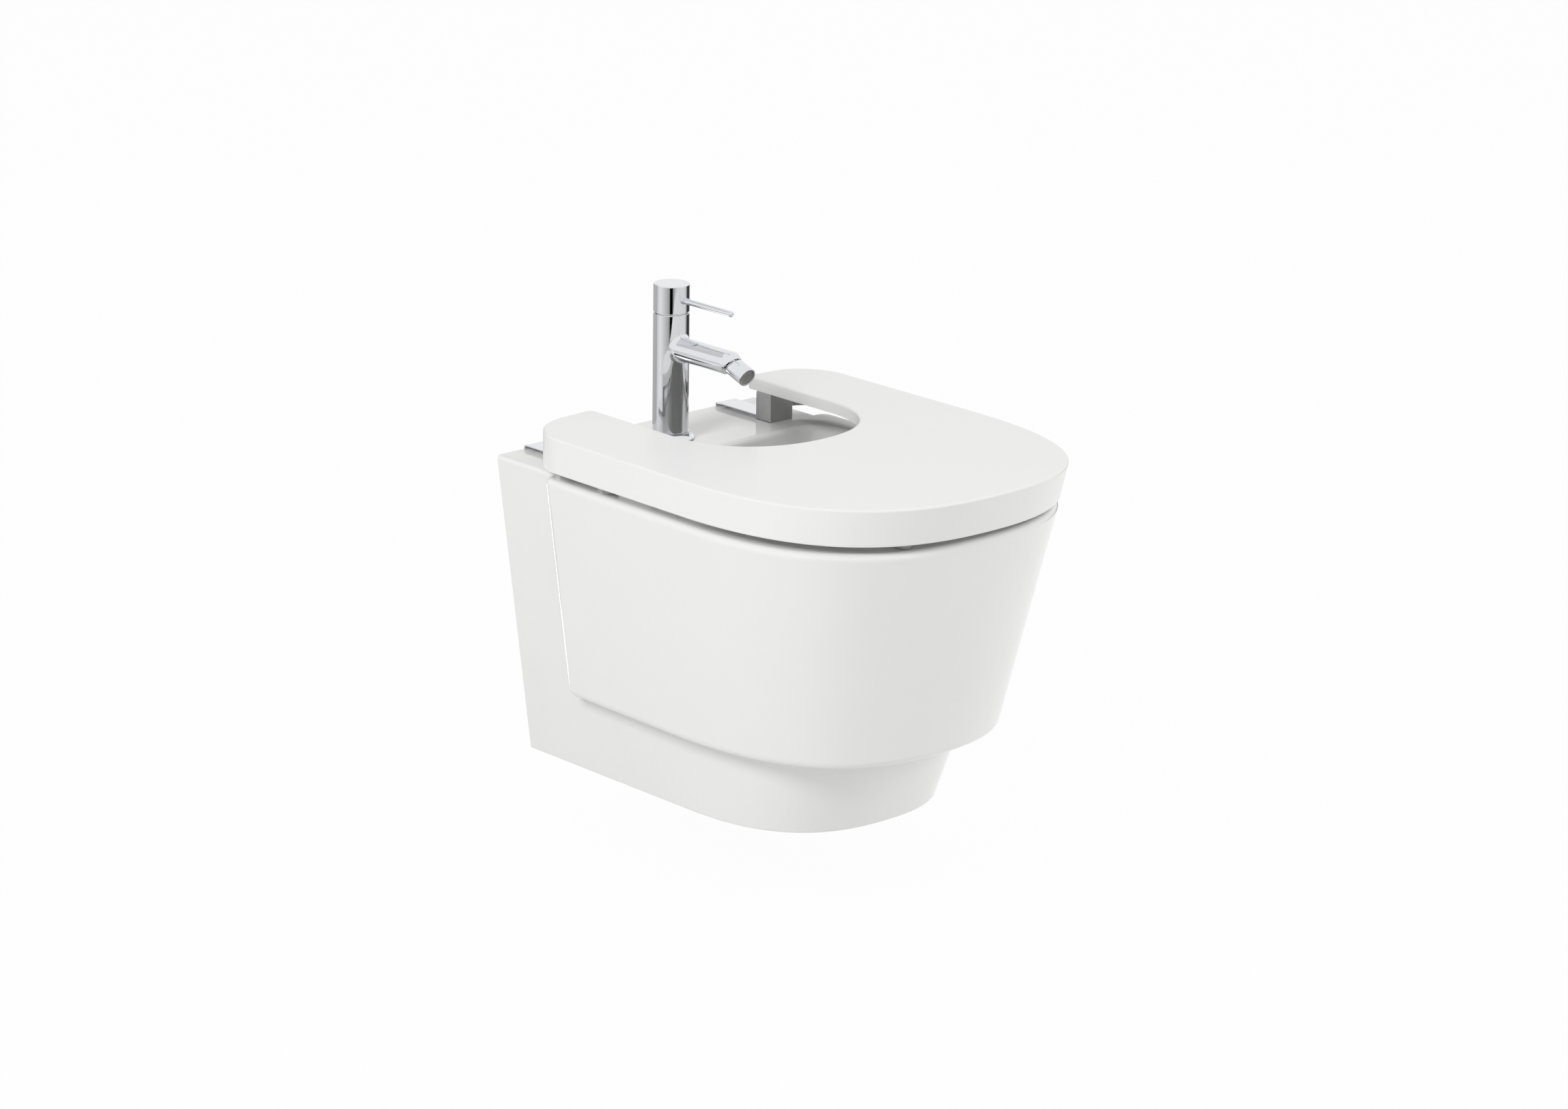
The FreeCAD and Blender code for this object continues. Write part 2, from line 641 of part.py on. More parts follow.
def hinge_arm():
    """Eye on the pin, hung from a flange under the lid."""
    eye = cylinder(ARM_EYE_R, PIVOT + ACROSS * ARM_INNER, ACROSS, ARM_THICK)
    web = block(ARM_INNER, ARM_OUTER, PIVOT_DEPTH - ARM_EYE_R, ARM_FLANGE_FRONT,
                PIVOT_RISE, LID_UNDERSIDE_RISE)
    flange = block(ARM_INNER, ARM_INNER + ARM_FLANGE_WIDTH, ARM_FLANGE_REAR, ARM_FLANGE_FRONT,
                   LID_UNDERSIDE_RISE - ARM_FLANGE_THICK, LID_UNDERSIDE_RISE)
    arm = eye.fuse(web).fuse(flange)
    arm = arm.cut(cylinder(PIN_R, PIVOT + ACROSS * ARM_INNER, ACROSS, ARM_THICK))
    for screw in arm_screw_places():
        arm = arm.cut(cylinder(ARM_SCREW_R, screw, -UP, ARM_FLANGE_THICK))
    return arm.removeSplitter()


def arm_screws():
    screws = []
    for seat in arm_screw_places():
        head = seat - UP * ARM_FLANGE_THICK
        shank = cylinder(ARM_SCREW_R, head, UP, ARM_FLANGE_THICK + ARM_SCREW_BITE)
        screw = shank.fuse(cylinder(ARM_SCREW_HEAD_R, head, -UP, ARM_SCREW_HEAD)).removeSplitter()
        screws.append(screw)
    return mirrored_pair(Part.makeCompound(screws))


def hinge_stud():
    start = at((POST_INNER + POST_OUTER) / 2, HINGE_STUD_DEPTH, HINGE_STUD_BITE)
    length = HINGE_STUD_BITE + DECK_THICK + HINGE_STUD_TAIL
    return cylinder(HINGE_STUD_R, start, -UP, length)


def hinge_washer():
    start = at((POST_INNER + POST_OUTER) / 2, HINGE_STUD_DEPTH, -DECK_THICK)
    return tube(HINGE_WASHER_R, HINGE_STUD_R + THREAD_CLEARANCE, start, -UP, HINGE_WASHER_THICK)


def wing_nut():
    seat = at((POST_INNER + POST_OUTER) / 2, HINGE_STUD_DEPTH, -DECK_THICK - HINGE_WASHER_THICK)
    hub = cylinder(WING_HUB_R, seat, -UP, WING_HUB_HEIGHT)
    corner = seat + Vector(-WING_THICK / 2, -WING_SPAN / 2, -WING_HEIGHT)
    wings = Part.makeBox(WING_THICK, WING_SPAN, WING_HEIGHT - WING_STEP, corner)
    bore = cylinder(HINGE_STUD_R + THREAD_CLEARANCE, seat, -UP, WING_HEIGHT)
    return hub.fuse(wings).cut(bore).removeSplitter()


# Tap body

def tap_axis(rise):
    return at(0, TAP_DEPTH, rise)


LIFT_RISE = GROOVE_RISE - LIFT_BELOW_GROOVE
LIFT = tap_axis(LIFT_RISE)
DOME_R = sqrt(COLUMN_R ** 2 + LIFT_BELOW_GROOVE ** 2)
VALVE_FLOOR_RISE = LIFT_RISE - VALVE_BELOW_LIFT - PORT_SEAL_THICK
VALVE_TOP_RISE = LIFT_RISE + VALVE_ABOVE_LIFT


def inlet_places(rise):
    return [at(side * INLET_OFFSET, TAP_DEPTH + INLET_AHEAD, rise) for side in (-1, 1)]


def tap_stud_top():
    return at(0, TAP_DEPTH - TAP_STUD_BEHIND, BASE_SEAL_THICK + TAP_STUD_BITE)


def tap_column():
    column = cylinder(COLUMN_R, tap_axis(BASE_RING_RISE), UP, GROOVE_RISE - BASE_RING_RISE)
    spigot = cylinder(SPIGOT_R, tap_axis(BASE_SEAL_THICK), UP, BASE_RING_RISE)
    column = column.fuse(spigot)
    valve_bore = cylinder(VALVE_R + VALVE_CLEARANCE, tap_axis(VALVE_FLOOR_RISE), UP, GROOVE_RISE)
    nut_bore = cylinder(SPIGOT_R + THREAD_CLEARANCE, tap_axis(VALVE_TOP_RISE), UP, GROOVE_RISE)
    column = column.cut(valve_bore).cut(nut_bore)
    for inlet in inlet_places(BASE_SEAL_THICK):
        column = column.cut(cylinder(INLET_R, inlet, UP, INLET_LENGTH))
        column = column.cut(cylinder(CHANNEL_R, inlet, UP, VALVE_FLOOR_RISE))
    column = column.cut(cylinder(TAP_STUD_R + THREAD_CLEARANCE, tap_stud_top(), -UP, TAP_STUD_BITE))
    mixing = cylinder(SPOUT_BORE_R, tap_axis(SPOUT_RISE), UP, VALVE_FLOOR_RISE - SPOUT_RISE)
    outlet = cylinder(SPOUT_BORE_R, tap_axis(SPOUT_RISE), ROOMWARD, COLUMN_R + OVERCUT)
    return column.cut(mixing).cut(outlet).removeSplitter()


def base_ring():
    """Flared ring between the deck seal and the column."""
    low, inner = BASE_SEAL_THICK, SPIGOT_R + SPIGOT_CLEARANCE
    mid_r = BASE_RING_TOP_R + (BASE_RING_R - BASE_RING_TOP_R) * BASE_RING_FLARE
    mid_rise = low + BASE_RING_LIP + (BASE_RING_RISE - low - BASE_RING_LIP) * BASE_RING_FLARE

    def spot(r, rise):
        return at(r, TAP_DEPTH, rise)

    edges = [
        line(spot(inner, low), spot(BASE_RING_R, low)),
        line(spot(BASE_RING_R, low), spot(BASE_RING_R, low + BASE_RING_LIP)),
        arc(spot(BASE_RING_R, low + BASE_RING_LIP), spot(mid_r, mid_rise),
            spot(BASE_RING_TOP_R, BASE_RING_RISE)),
        line(spot(BASE_RING_TOP_R, BASE_RING_RISE), spot(inner, BASE_RING_RISE)),
        line(spot(inner, BASE_RING_RISE), spot(inner, low)),
    ]
    return Part.Face(Part.Wire(edges)).revolve(tap_axis(0), UP, 360)


def base_seal():
    return tube(BASE_SEAL_R, TAP_HOLE_R, tap_axis(0), UP, BASE_SEAL_THICK)


def tap_stud():
    length = TAP_STUD_BITE + BASE_SEAL_THICK + DECK_THICK + TAP_STUD_TAIL
    return cylinder(TAP_STUD_R, tap_stud_top(), -UP, length)


def clamp_plate(drop, thick):
    """Horseshoe under the deck: it bears behind the tap hole and leaves the way for the hoses."""
    plate = cylinder(CLAMP_R, tap_axis(-drop), -UP, thick)
    notch_depth = TAP_DEPTH - CLAMP_NOTCH_BEHIND
    notch = block(-CLAMP_NOTCH_HALF, CLAMP_NOTCH_HALF, notch_depth, TAP_DEPTH + CLAMP_R + OVERCUT,
                  -drop - thick - OVERCUT, -drop + OVERCUT)
    stud = cylinder(TAP_STUD_R + THREAD_CLEARANCE, at(0, TAP_DEPTH - TAP_STUD_BEHIND, -drop), -UP, thick)
    return plate.cut(notch).cut(stud)


def stud_nut():
    seat = at(0, TAP_DEPTH - TAP_STUD_BEHIND, -DECK_THICK - CLAMP_GASKET_THICK - CLAMP_WASHER_THICK)
    nut = hexagon(STUD_NUT_R, seat - UP * STUD_NUT_HEIGHT, STUD_NUT_HEIGHT)
    return nut.cut(cylinder(TAP_STUD_R + THREAD_CLEARANCE, seat, -UP, STUD_NUT_HEIGHT))


# Spout and nozzle

BALL = at(0, BALL_DEPTH, SPOUT_RISE)


def tilted(angle):
    """Direction out into the room, an angle below level."""
    return Vector(0, -cos(radians(angle)), -sin(radians(angle)))


SOCKET_AXIS = tilted(SOCKET_TILT)
NOZZLE_AXIS = tilted(NOZZLE_TILT)


def along(axis, distance):
    return BALL + axis * distance


def tap_spout():
    """Round arm with a domed end, cut off square to the axis of its ball socket."""
    spout = cylinder(SPOUT_R, tap_axis(SPOUT_RISE), ROOMWARD, BALL_DEPTH - TAP_DEPTH)
    spout = spout.fuse(Part.makeSphere(SPOUT_R, BALL, ROOMWARD, 0, 90, 360))
    spout = spout.cut(cylinder(COLUMN_R, tap_axis(0), UP, GROOVE_RISE))
    spout = spout.cut(cylinder(2 * SPOUT_R, along(SOCKET_AXIS, SOCKET_FACE), SOCKET_AXIS, 2 * SPOUT_R))
    spout = spout.cut(cylinder(SPOUT_BORE_R, tap_axis(SPOUT_RISE), ROOMWARD, BALL_DEPTH - TAP_DEPTH))
    spout = spout.cut(Part.makeSphere(SOCKET_R, BALL))
    return spout.cut(cylinder(SOCKET_R, BALL, SOCKET_AXIS, 2 * SOCKET_FACE))


def ball_seat_liner():
    liner = Part.makeSphere(LINER_R, BALL).cut(Part.makeSphere(BALL_R + BALL_RUN, BALL))
    span = cylinder(SPOUT_R, along(SOCKET_AXIS, -LINER_REAR), SOCKET_AXIS, LINER_REAR + LINER_FRONT)
    return liner.common(span)


def socket_ring():
    ring = cylinder(SOCKET_R - SPIGOT_CLEARANCE / 2, along(SOCKET_AXIS, RING_START), SOCKET_AXIS,
                    SOCKET_FACE - RING_START)
    return ring.cut(Part.makeSphere(BALL_R + RING_RUN, BALL))


def nozzle_ball():
    ball = Part.makeSphere(BALL_R, BALL)
    ball = ball.fuse(cylinder(NECK_R, BALL, NOZZLE_AXIS, NECK_END))
    bore = cylinder(BALL_BORE_R, along(NOZZLE_AXIS, -BALL_R), NOZZLE_AXIS, BALL_R + NECK_END + OVERCUT)
    return ball.cut(bore).removeSplitter()


def nozzle_sleeve():
    """Sleeve with its back end mitred parallel to the spout's cut face and hollowed round the ball."""
    sleeve = cylinder(NOZZLE_R, BALL, NOZZLE_AXIS, NOZZLE_END).cut(Part.makeSphere(BALL_R + RING_RUN, BALL))
    behind = cylinder(NOZZLE_END, along(SOCKET_AXIS, SOCKET_FACE + MITRE_GAP), -SOCKET_AXIS, NOZZLE_END)
    neck = cylinder(NECK_R + THREAD_CLEARANCE, BALL, NOZZLE_AXIS, NECK_END)
    bore = cylinder(NOZZLE_BORE_R, along(NOZZLE_AXIS, NECK_END), NOZZLE_AXIS, NOZZLE_END - NECK_END)
    return sleeve.cut(behind).cut(neck).cut(bore)


MESH_START = NOZZLE_END - MESH_INSET - MESH_THICK


def aerator_insert():
    start = along(NOZZLE_AXIS, MESH_START - AERATOR_LENGTH)
    return tube(NOZZLE_BORE_R - THREAD_CLEARANCE, BALL_BORE_R, start, NOZZLE_AXIS, AERATOR_LENGTH)


def aerator_mesh():
    start = along(NOZZLE_AXIS, MESH_START)
    disc = cylinder(NOZZLE_BORE_R - THREAD_CLEARANCE, start, NOZZLE_AXIS, MESH_THICK)
    rise = ACROSS.cross(NOZZLE_AXIS)
    for row in range(-MESH_ROWS, MESH_ROWS + 1):
        for place in range(2 * MESH_ROWS + 1 - abs(row)):
            across = (place - (2 * MESH_ROWS - abs(row)) / 2) * MESH_PITCH
            spot = start + ACROSS * across + rise * (row * MESH_PITCH * sqrt(0.75))
            disc = disc.cut(cylinder(MESH_HOLE_R, spot, NOZZLE_AXIS, MESH_THICK))
    return disc


# Valve and handle

def lift_point(above):
    return LIFT + UP * above


DISC_FLOOR = -VALVE_BELOW_LIFT + VALVE_BASE
MOVING_DISC_LOW = DISC_FLOOR + FIXED_DISC_THICK + DISC_GAP


def cartridge_body():
    height = VALVE_BELOW_LIFT + VALVE_ABOVE_LIFT
    body = cylinder(VALVE_R, lift_point(-VALVE_BELOW_LIFT), UP, height)
    chamber = cylinder(DISC_CHAMBER_R, lift_point(DISC_FLOOR), UP, -TURRET_BELOW - DISC_FLOOR)
    guide = cylinder(TURRET_R + TURRET_RUN, lift_point(-TURRET_BELOW), UP, height)
    body = body.cut(chamber).cut(guide)
    for port in inlet_places(LIFT_RISE - VALVE_BELOW_LIFT):
        body = body.cut(cylinder(CHANNEL_R, port, UP, VALVE_BASE))
    return body


def port_seals():
    rings = []
    for port in inlet_places(VALVE_FLOOR_RISE):
        rings.append(tube(PORT_SEAL_R, CHANNEL_R, port, UP, PORT_SEAL_THICK))
    return Part.makeCompound(rings)


def fixed_disc():
    disc = cylinder(FIXED_DISC_R, lift_point(DISC_FLOOR), UP, FIXED_DISC_THICK)
    for port in inlet_places(LIFT_RISE + DISC_FLOOR):
        disc = disc.cut(cylinder(CHANNEL_R, port, UP, FIXED_DISC_THICK))
    return disc


def moving_disc():
    disc = cylinder(MOVING_DISC_R, lift_point(MOVING_DISC_LOW), UP, MOVING_DISC_THICK)
    top = MOVING_DISC_LOW + MOVING_DISC_THICK
    corner = lift_point(top - DISC_SLOT_DEPTH) + Vector(-DISC_SLOT_HALF, -DISC_SLOT_HALF, 0)
    slot = Part.makeBox(2 * DISC_SLOT_HALF, 2 * DISC_SLOT_HALF, DISC_SLOT_DEPTH, corner)
    return disc.cut(slot)


def cartridge_turret():
    height = TURRET_BELOW + TURRET_ABOVE
    turret = cylinder(TURRET_R, lift_point(-TURRET_BELOW), UP, height)
    corner = lift_point(-TURRET_BELOW) + Vector(-TURRET_SLOT_HALF, -2 * TURRET_SLOT_HALF, 0)
    slot = Part.makeBox(2 * TURRET_SLOT_HALF, 4 * TURRET_SLOT_HALF, height, corner)
    pin = cylinder(STEM_PIN_R, LIFT - ACROSS * TURRET_R, ACROSS, 2 * TURRET_R)
    return turret.cut(slot).cut(pin)


def stem_pivot_pin():
    half = sqrt(TURRET_R ** 2 - STEM_PIN_R ** 2)
    return cylinder(STEM_PIN_R, LIFT - ACROSS * half, ACROSS, 2 * half)


def cartridge_nut():
    """Threaded ring over the cartridge, with a dome round the lift pivot."""
    nut = cylinder(SPIGOT_R, tap_axis(VALVE_TOP_RISE), UP, DOME_R)
    nut = nut.common(Part.makeSphere(DOME_R, LIFT))
    return nut.cut(cylinder(DOME_HOLE_R, tap_axis(VALVE_TOP_RISE), UP, DOME_R))


def lever_stem():
    stem = cylinder(STEM_R, lift_point(-STEM_BELOW), UP, STEM_BELOW + STEM_HEAD_START)
    stem = stem.fuse(cylinder(STEM_HEAD_R, lift_point(STEM_HEAD_START), UP, STEM_TOP - STEM_HEAD_START))
    stem = stem.fuse(cylinder(STEM_SHANK_R, lift_point(-STEM_TIP_BELOW), UP, STEM_TIP_BELOW))
    stem = stem.fuse(Part.makeSphere(STEM_TIP_R, lift_point(-STEM_TIP_BELOW)))
    hole = cylinder(STEM_PIN_R + HINGE_RUN, LIFT - ACROSS * TURRET_R, ACROSS, 2 * TURRET_R)
    return stem.cut(hole).removeSplitter()


def handle_cap():
    low = GROOVE_RISE
    cap = cylinder(COLUMN_R, tap_axis(low), UP, CAP_TOP_RISE - low)
    cap = cap.makeChamfer(CAP_CHAMFER, edges_at(cap, DECK_Z + CAP_TOP_RISE))
    cap = cap.cut(Part.makeSphere(DOME_R + CAP_GAP, LIFT))
    cap = cap.cut(cylinder(STEM_HEAD_R + THREAD_CLEARANCE, LIFT, UP, STEM_TOP))
    lever = at(0, TAP_DEPTH + COLUMN_R - LEVER_ROOT, LEVER_RISE)
    cap = cap.cut(cylinder(LEVER_R + THREAD_CLEARANCE, lever, ROOMWARD, LEVER_ROOT))
    grub = at(0, TAP_DEPTH - STEM_HEAD_R, LEVER_RISE)
    return cap.cut(cylinder(GRUB_R + THREAD_CLEARANCE, grub, -ROOMWARD, COLUMN_R))


def pin_lever():
    root = at(0, TAP_DEPTH + COLUMN_R - LEVER_ROOT, LEVER_RISE)
    length = LEVER_TIP_DEPTH - TAP_DEPTH - COLUMN_R + LEVER_ROOT
    rod = cylinder(LEVER_R, root, ROOMWARD, length)
    tip = [e for e in rod.Edges if abs(e.BoundBox.YMax + LEVER_TIP_DEPTH) < NEAR]
    rod = rod.makeFillet(LEVER_ROUND, tip)
    collar_start = at(0, TAP_DEPTH + COLUMN_R - LEVER_COLLAR, LEVER_RISE)
    collar = cylinder(LEVER_COLLAR_R, collar_start, ROOMWARD, 2 * LEVER_COLLAR)
    collar = collar.cut(cylinder(COLUMN_R + THREAD_CLEARANCE, tap_axis(0), UP, CAP_TOP_RISE))
    return rod.fuse(collar).removeSplitter()


def handle_grub_screw():
    start = at(0, TAP_DEPTH - STEM_HEAD_R - THREAD_CLEARANCE, LEVER_RISE)
    return cylinder(GRUB_R, start, -ROOMWARD, GRUB_LENGTH)


# Waste

FLANGE_RISE = BASIN_FLOOR_RISE + FLANGE_SEAL_THICK
PLUG_RISE = FLANGE_RISE + FLANGE_THICK + PLUG_GAP
BACK_NUT_RISE = BASIN_UNDERSIDE_RISE - LOWER_SEAL_THICK


def waste_axis(rise):
    return at(0, WASTE_DEPTH, rise)


def waste_flange():
    flange = cylinder(FLANGE_R, waste_axis(FLANGE_RISE), UP, FLANGE_THICK)
    flange = flange.makeFillet(FLANGE_THICK / 2, edges_at(flange, DECK_Z + FLANGE_RISE + FLANGE_THICK))
    flange = flange.fuse(cylinder(TAIL_R, waste_axis(FLANGE_RISE), -UP, TAIL_LENGTH))
    bore = cylinder(TAIL_BORE_R, waste_axis(FLANGE_RISE + FLANGE_THICK), -UP, TAIL_LENGTH + FLANGE_THICK)
    relief_start = waste_axis(BACK_NUT_RISE - BACK_NUT_HEIGHT - TAIL_RELIEF_BELOW_NUT)
    relief = tube(TAIL_R + OVERCUT, TAIL_R - TAIL_RELIEF, relief_start, -UP, TAIL_RELIEF_WIDTH)
    return flange.cut(bore).cut(relief).removeSplitter()


def flange_seal():
    return tube(FLANGE_SEAL_R, WASTE_HOLE_R, waste_axis(BASIN_FLOOR_RISE), UP, FLANGE_SEAL_THICK)


def lower_seal():
    start = waste_axis(BASIN_UNDERSIDE_RISE)
    return tube(LOWER_SEAL_R, TAIL_R + THREAD_CLEARANCE, start, -UP, LOWER_SEAL_THICK)


def back_nut():
    seat = waste_axis(BACK_NUT_RISE)
    nut = hexagon(BACK_NUT_R, seat - UP * BACK_NUT_HEIGHT, BACK_NUT_HEIGHT)
    return nut.cut(cylinder(TAIL_R + THREAD_CLEARANCE, seat, -UP, BACK_NUT_HEIGHT))


def guide_spider():
    start = waste_axis(FLANGE_RISE - SPIDER_DROP)
    outer = TAIL_BORE_R - SPIGOT_CLEARANCE
    rim = tube(outer, outer - SPIDER_RIM, start, -UP, SPIDER_HEIGHT)
    spider = rim.fuse(cylinder(SPIDER_HUB_R, start, -UP, SPIDER_HEIGHT))
    for spoke in range(SPIDER_SPOKES):
        corner = Vector(0, -SPIDER_SPOKE / 2, -SPIDER_HEIGHT)
        bar = Part.makeBox(outer - SPIDER_RIM / 2, SPIDER_SPOKE, SPIDER_HEIGHT, corner)
        bar.rotate(Vector(0, 0, 0), UP, 90 + 360 * spoke / SPIDER_SPOKES)
        bar.translate(start)
        spider = spider.fuse(bar)
    return spider.cut(cylinder(PLUG_STEM_R + PLUG_RUN, start, -UP, SPIDER_HEIGHT)).removeSplitter()


def waste_plug():
    """Round cover with a low dome."""
    plug = cylinder(PLUG_R, waste_axis(PLUG_RISE), UP, PLUG_THICK)
    dome_r = (PLUG_R ** 2 + PLUG_DOME ** 2) / (2 * PLUG_DOME)
    top = PLUG_RISE + PLUG_THICK
    dome = Part.makeSphere(dome_r, waste_axis(top + PLUG_DOME - dome_r))
    cap = cylinder(PLUG_R, waste_axis(top), UP, PLUG_DOME).common(dome)
    return plug.fuse(cap).removeSplitter()


def plug_seal():
    start = waste_axis(PLUG_RISE)
    return tube(PLUG_SEAL_R, PLUG_STEM_R, start, -UP, PLUG_SEAL_THICK)


def plug_stem():
    low = FLANGE_RISE - SPIDER_DROP - SPIDER_HEIGHT - PLUG_STEM_TAIL
    return cylinder(PLUG_STEM_R, waste_axis(low), UP, PLUG_RISE - low)


def hinge_nodes():
    """The hinge pieces of the right side and their mirror images on the left."""
    makers = {
        "hinge_post": hinge_post,
        "hinge_cover": hinge_cover,
        "hinge_damper": hinge_damper,
        "hinge_pin": hinge_pin,
        "hinge_arm": hinge_arm,
    }
    nodes = {}
    for name, maker in makers.items():
        right = maker()
        nodes[name + "_right"] = right
        nodes[name + "_left"] = right.mirror(Vector(0, 0, 0), ACROSS)
    return nodes


def all_nodes():
    nodes = {
        **pan_regions(),
        "wall_bolt_sleeves": wall_bolt_sleeves(),
        "lid_shell": lid_shell(),
        "lid_buffers": lid_buffers(),
        "arm_screws": arm_screws(),
        "hinge_studs": mirrored_pair(hinge_stud()),
        "hinge_washers": mirrored_pair(hinge_washer()),
        "hinge_wing_nuts": mirrored_pair(wing_nut()),
        "tap_column": tap_column(),
        "tap_spout": tap_spout(),
        "tap_base_ring": base_ring(),
        "tap_base_seal": base_seal(),
        "tap_stud": tap_stud(),
        "clamp_gasket": clamp_plate(DECK_THICK, CLAMP_GASKET_THICK),
        "clamp_washer": clamp_plate(DECK_THICK + CLAMP_GASKET_THICK, CLAMP_WASHER_THICK),
        "tap_stud_nut": stud_nut(),
        "ball_seat_liner": ball_seat_liner(),
        "socket_ring": socket_ring(),
        "nozzle_ball": nozzle_ball(),
        "nozzle_sleeve": nozzle_sleeve(),
        "aerator_insert": aerator_insert(),
        "aerator_mesh": aerator_mesh(),
        "cartridge_body": cartridge_body(),
        "cartridge_port_seals": port_seals(),
        "cartridge_fixed_disc": fixed_disc(),
        "cartridge_moving_disc": moving_disc(),
        "cartridge_turret": cartridge_turret(),
        "cartridge_nut": cartridge_nut(),
        "stem_pivot_pin": stem_pivot_pin(),
        "lever_stem": lever_stem(),
        "handle_cap": handle_cap(),
        "pin_lever": pin_lever(),
        "handle_grub_screw": handle_grub_screw(),
        "waste_flange": waste_flange(),
        "waste_flange_seal": flange_seal(),
        "waste_lower_seal": lower_seal(),
        "waste_back_nut": back_nut(),
        "waste_guide_spider": guide_spider(),
        "waste_plug": waste_plug(),
        "waste_plug_seal": plug_seal(),
        "waste_plug_stem": plug_stem(),
    }
    nodes.update(hinge_nodes())
    return nodes


def main():
    os.makedirs("parts", exist_ok=True)
    for name, shape in all_nodes().items():
        shape.exportStep("parts/" + name + ".step")
        print(name, len(shape.Solids), shape.isValid(), round(shape.Volume))


if __name__ == "__main__":
    main()
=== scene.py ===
"""Looks of a wall-hung bidet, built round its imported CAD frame.

Lengths are millimetres in the part's own frame: the wall is the plane y = 0, the room lies on its -y side
and +z is up. Surface.build turns them into Blender's metres. Lamps and camera are placed in metres.
"""
import json
import logging
from dataclasses import dataclass, field
from enum import Enum
from math import cos, pi, radians, sin, sqrt

import bmesh
import bpy
import numpy as np
from mathutils import Matrix, Vector


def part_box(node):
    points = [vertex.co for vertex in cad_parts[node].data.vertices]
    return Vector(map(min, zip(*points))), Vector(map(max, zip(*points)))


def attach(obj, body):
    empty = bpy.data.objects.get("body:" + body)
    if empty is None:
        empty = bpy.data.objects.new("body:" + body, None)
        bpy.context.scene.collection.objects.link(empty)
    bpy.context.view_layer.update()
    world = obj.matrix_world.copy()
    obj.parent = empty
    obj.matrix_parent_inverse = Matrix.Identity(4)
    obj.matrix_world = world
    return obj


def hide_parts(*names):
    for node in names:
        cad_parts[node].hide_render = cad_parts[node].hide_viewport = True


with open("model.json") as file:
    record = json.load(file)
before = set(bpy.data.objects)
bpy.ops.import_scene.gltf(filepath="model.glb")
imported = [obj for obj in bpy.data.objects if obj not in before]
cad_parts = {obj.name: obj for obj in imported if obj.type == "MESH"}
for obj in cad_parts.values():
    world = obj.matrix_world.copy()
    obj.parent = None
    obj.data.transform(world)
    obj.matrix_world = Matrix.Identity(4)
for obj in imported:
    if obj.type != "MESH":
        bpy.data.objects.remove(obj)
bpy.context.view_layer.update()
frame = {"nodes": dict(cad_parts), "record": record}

Array = np.ndarray
Socket = bpy.types.NodeSocket
LOG = logging.getLogger("bidet")

MM = 0.001
# Points nearer to each other than this merge into one
MERGE = 0.002
SHARP_ANGLE = radians(35)
# Flat kept beside a rounding, as a share of its radius
HOLD = 0.35
LEAST_TURN = 1e-6
NEARLY_UPRIGHT = 0.9
THREAD_PARTS = 48
THREAD_ROWS = 6
UP = np.array((0.0, 0.0, 1.0))
ACROSS = np.array((1.0, 0.0, 0.0))
ROOMWARD = np.array((0.0, -1.0, 0.0))
WHITE = (1.0, 1.0, 1.0, 1.0)


class Body(Enum):
    """Bodies of the frame that new pieces ride on."""

    PAN = "pan"
    HANDLE = "handle"
    NOZZLE = "nozzle"
    PLUG = "plug"


class Slot(Enum):
    """Material slots of the record."""

    GLAZE = "white_glaze"
    LID = "white_lid"
    CHROME = "chrome"
    SATIN = "satin_metal"
    STEEL = "steel"
    BRASS = "brass"
    RUBBER = "black_rubber"
    CLEAR = "clear_rubber"
    NYLON = "white_nylon"
    VALVE = "valve_ceramic"


# Shapes

def unit(vectors: Array) -> Array:
    """Give vectors a length of one; a vector of no length stays as it is."""
    length = np.linalg.norm(vectors, axis=-1, keepdims=True)
    return vectors / np.where(length > 0, length, 1.0)


def rounded(corners: list[tuple[float, float, float]], closed: bool = False, steps: int = 6) -> Array:
    """Draw a profile through corners that are rounded off.

    A corner's arc touches both sides at r / tan(g / 2) from the corner, where g is the angle between them.
    Its points are the arc's centre plus a radius that turns evenly from the first touching point to the
    second. One more point before and after each arc keeps the flats beside it flat.

    Args:
        corners: rows of two coordinates and the radius r at that corner.
        closed: whether the last corner leads back to the first.
        steps: the number of parts in each arc.

    Returns:
        The profile's points, one row each.
    """
    table = np.asarray(corners, float)
    spots, radii = table[:, :2], table[:, 2:]
    back = unit(np.roll(spots, 1, axis=0) - spots)
    ahead = unit(np.roll(spots, -1, axis=0) - spots)
    if not closed:
        back[0], ahead[-1] = -ahead[0], -back[-1]
    half = np.arccos(np.clip(np.sum(back * ahead, axis=1, keepdims=True), -1, 1)) / 2
    reach = radii / np.tan(half)
    centre = spots + unit(back + ahead) * radii / np.sin(half)
    start = (spots + back * reach - centre)[:, None]
    end = (spots + ahead * reach - centre)[:, None]
    turn = np.maximum(pi - 2 * half, LEAST_TURN)[:, None]
    share = np.linspace(0, 1, steps + 1)[None, :, None]
    spoke = (start * np.sin((1 - share) * turn) + end * np.sin(share * turn)) / np.sin(turn)
    arc = centre[:, None] + spoke
    before = spots + back * (reach + HOLD * radii)
    after = spots + ahead * (reach + HOLD * radii)
    return np.concatenate([before[:, None], arc, after[:, None]], axis=1).reshape(-1, 2)


def circle(count: int = 96) -> Array:
    """Angles that divide a full turn evenly."""
    return np.linspace(0, 2 * pi, count, endpoint=False)


def quarter(parts: int) -> Array:
    """Angles that divide a quarter turn evenly, with both of its ends."""
    return np.linspace(0, pi / 2, parts + 1)


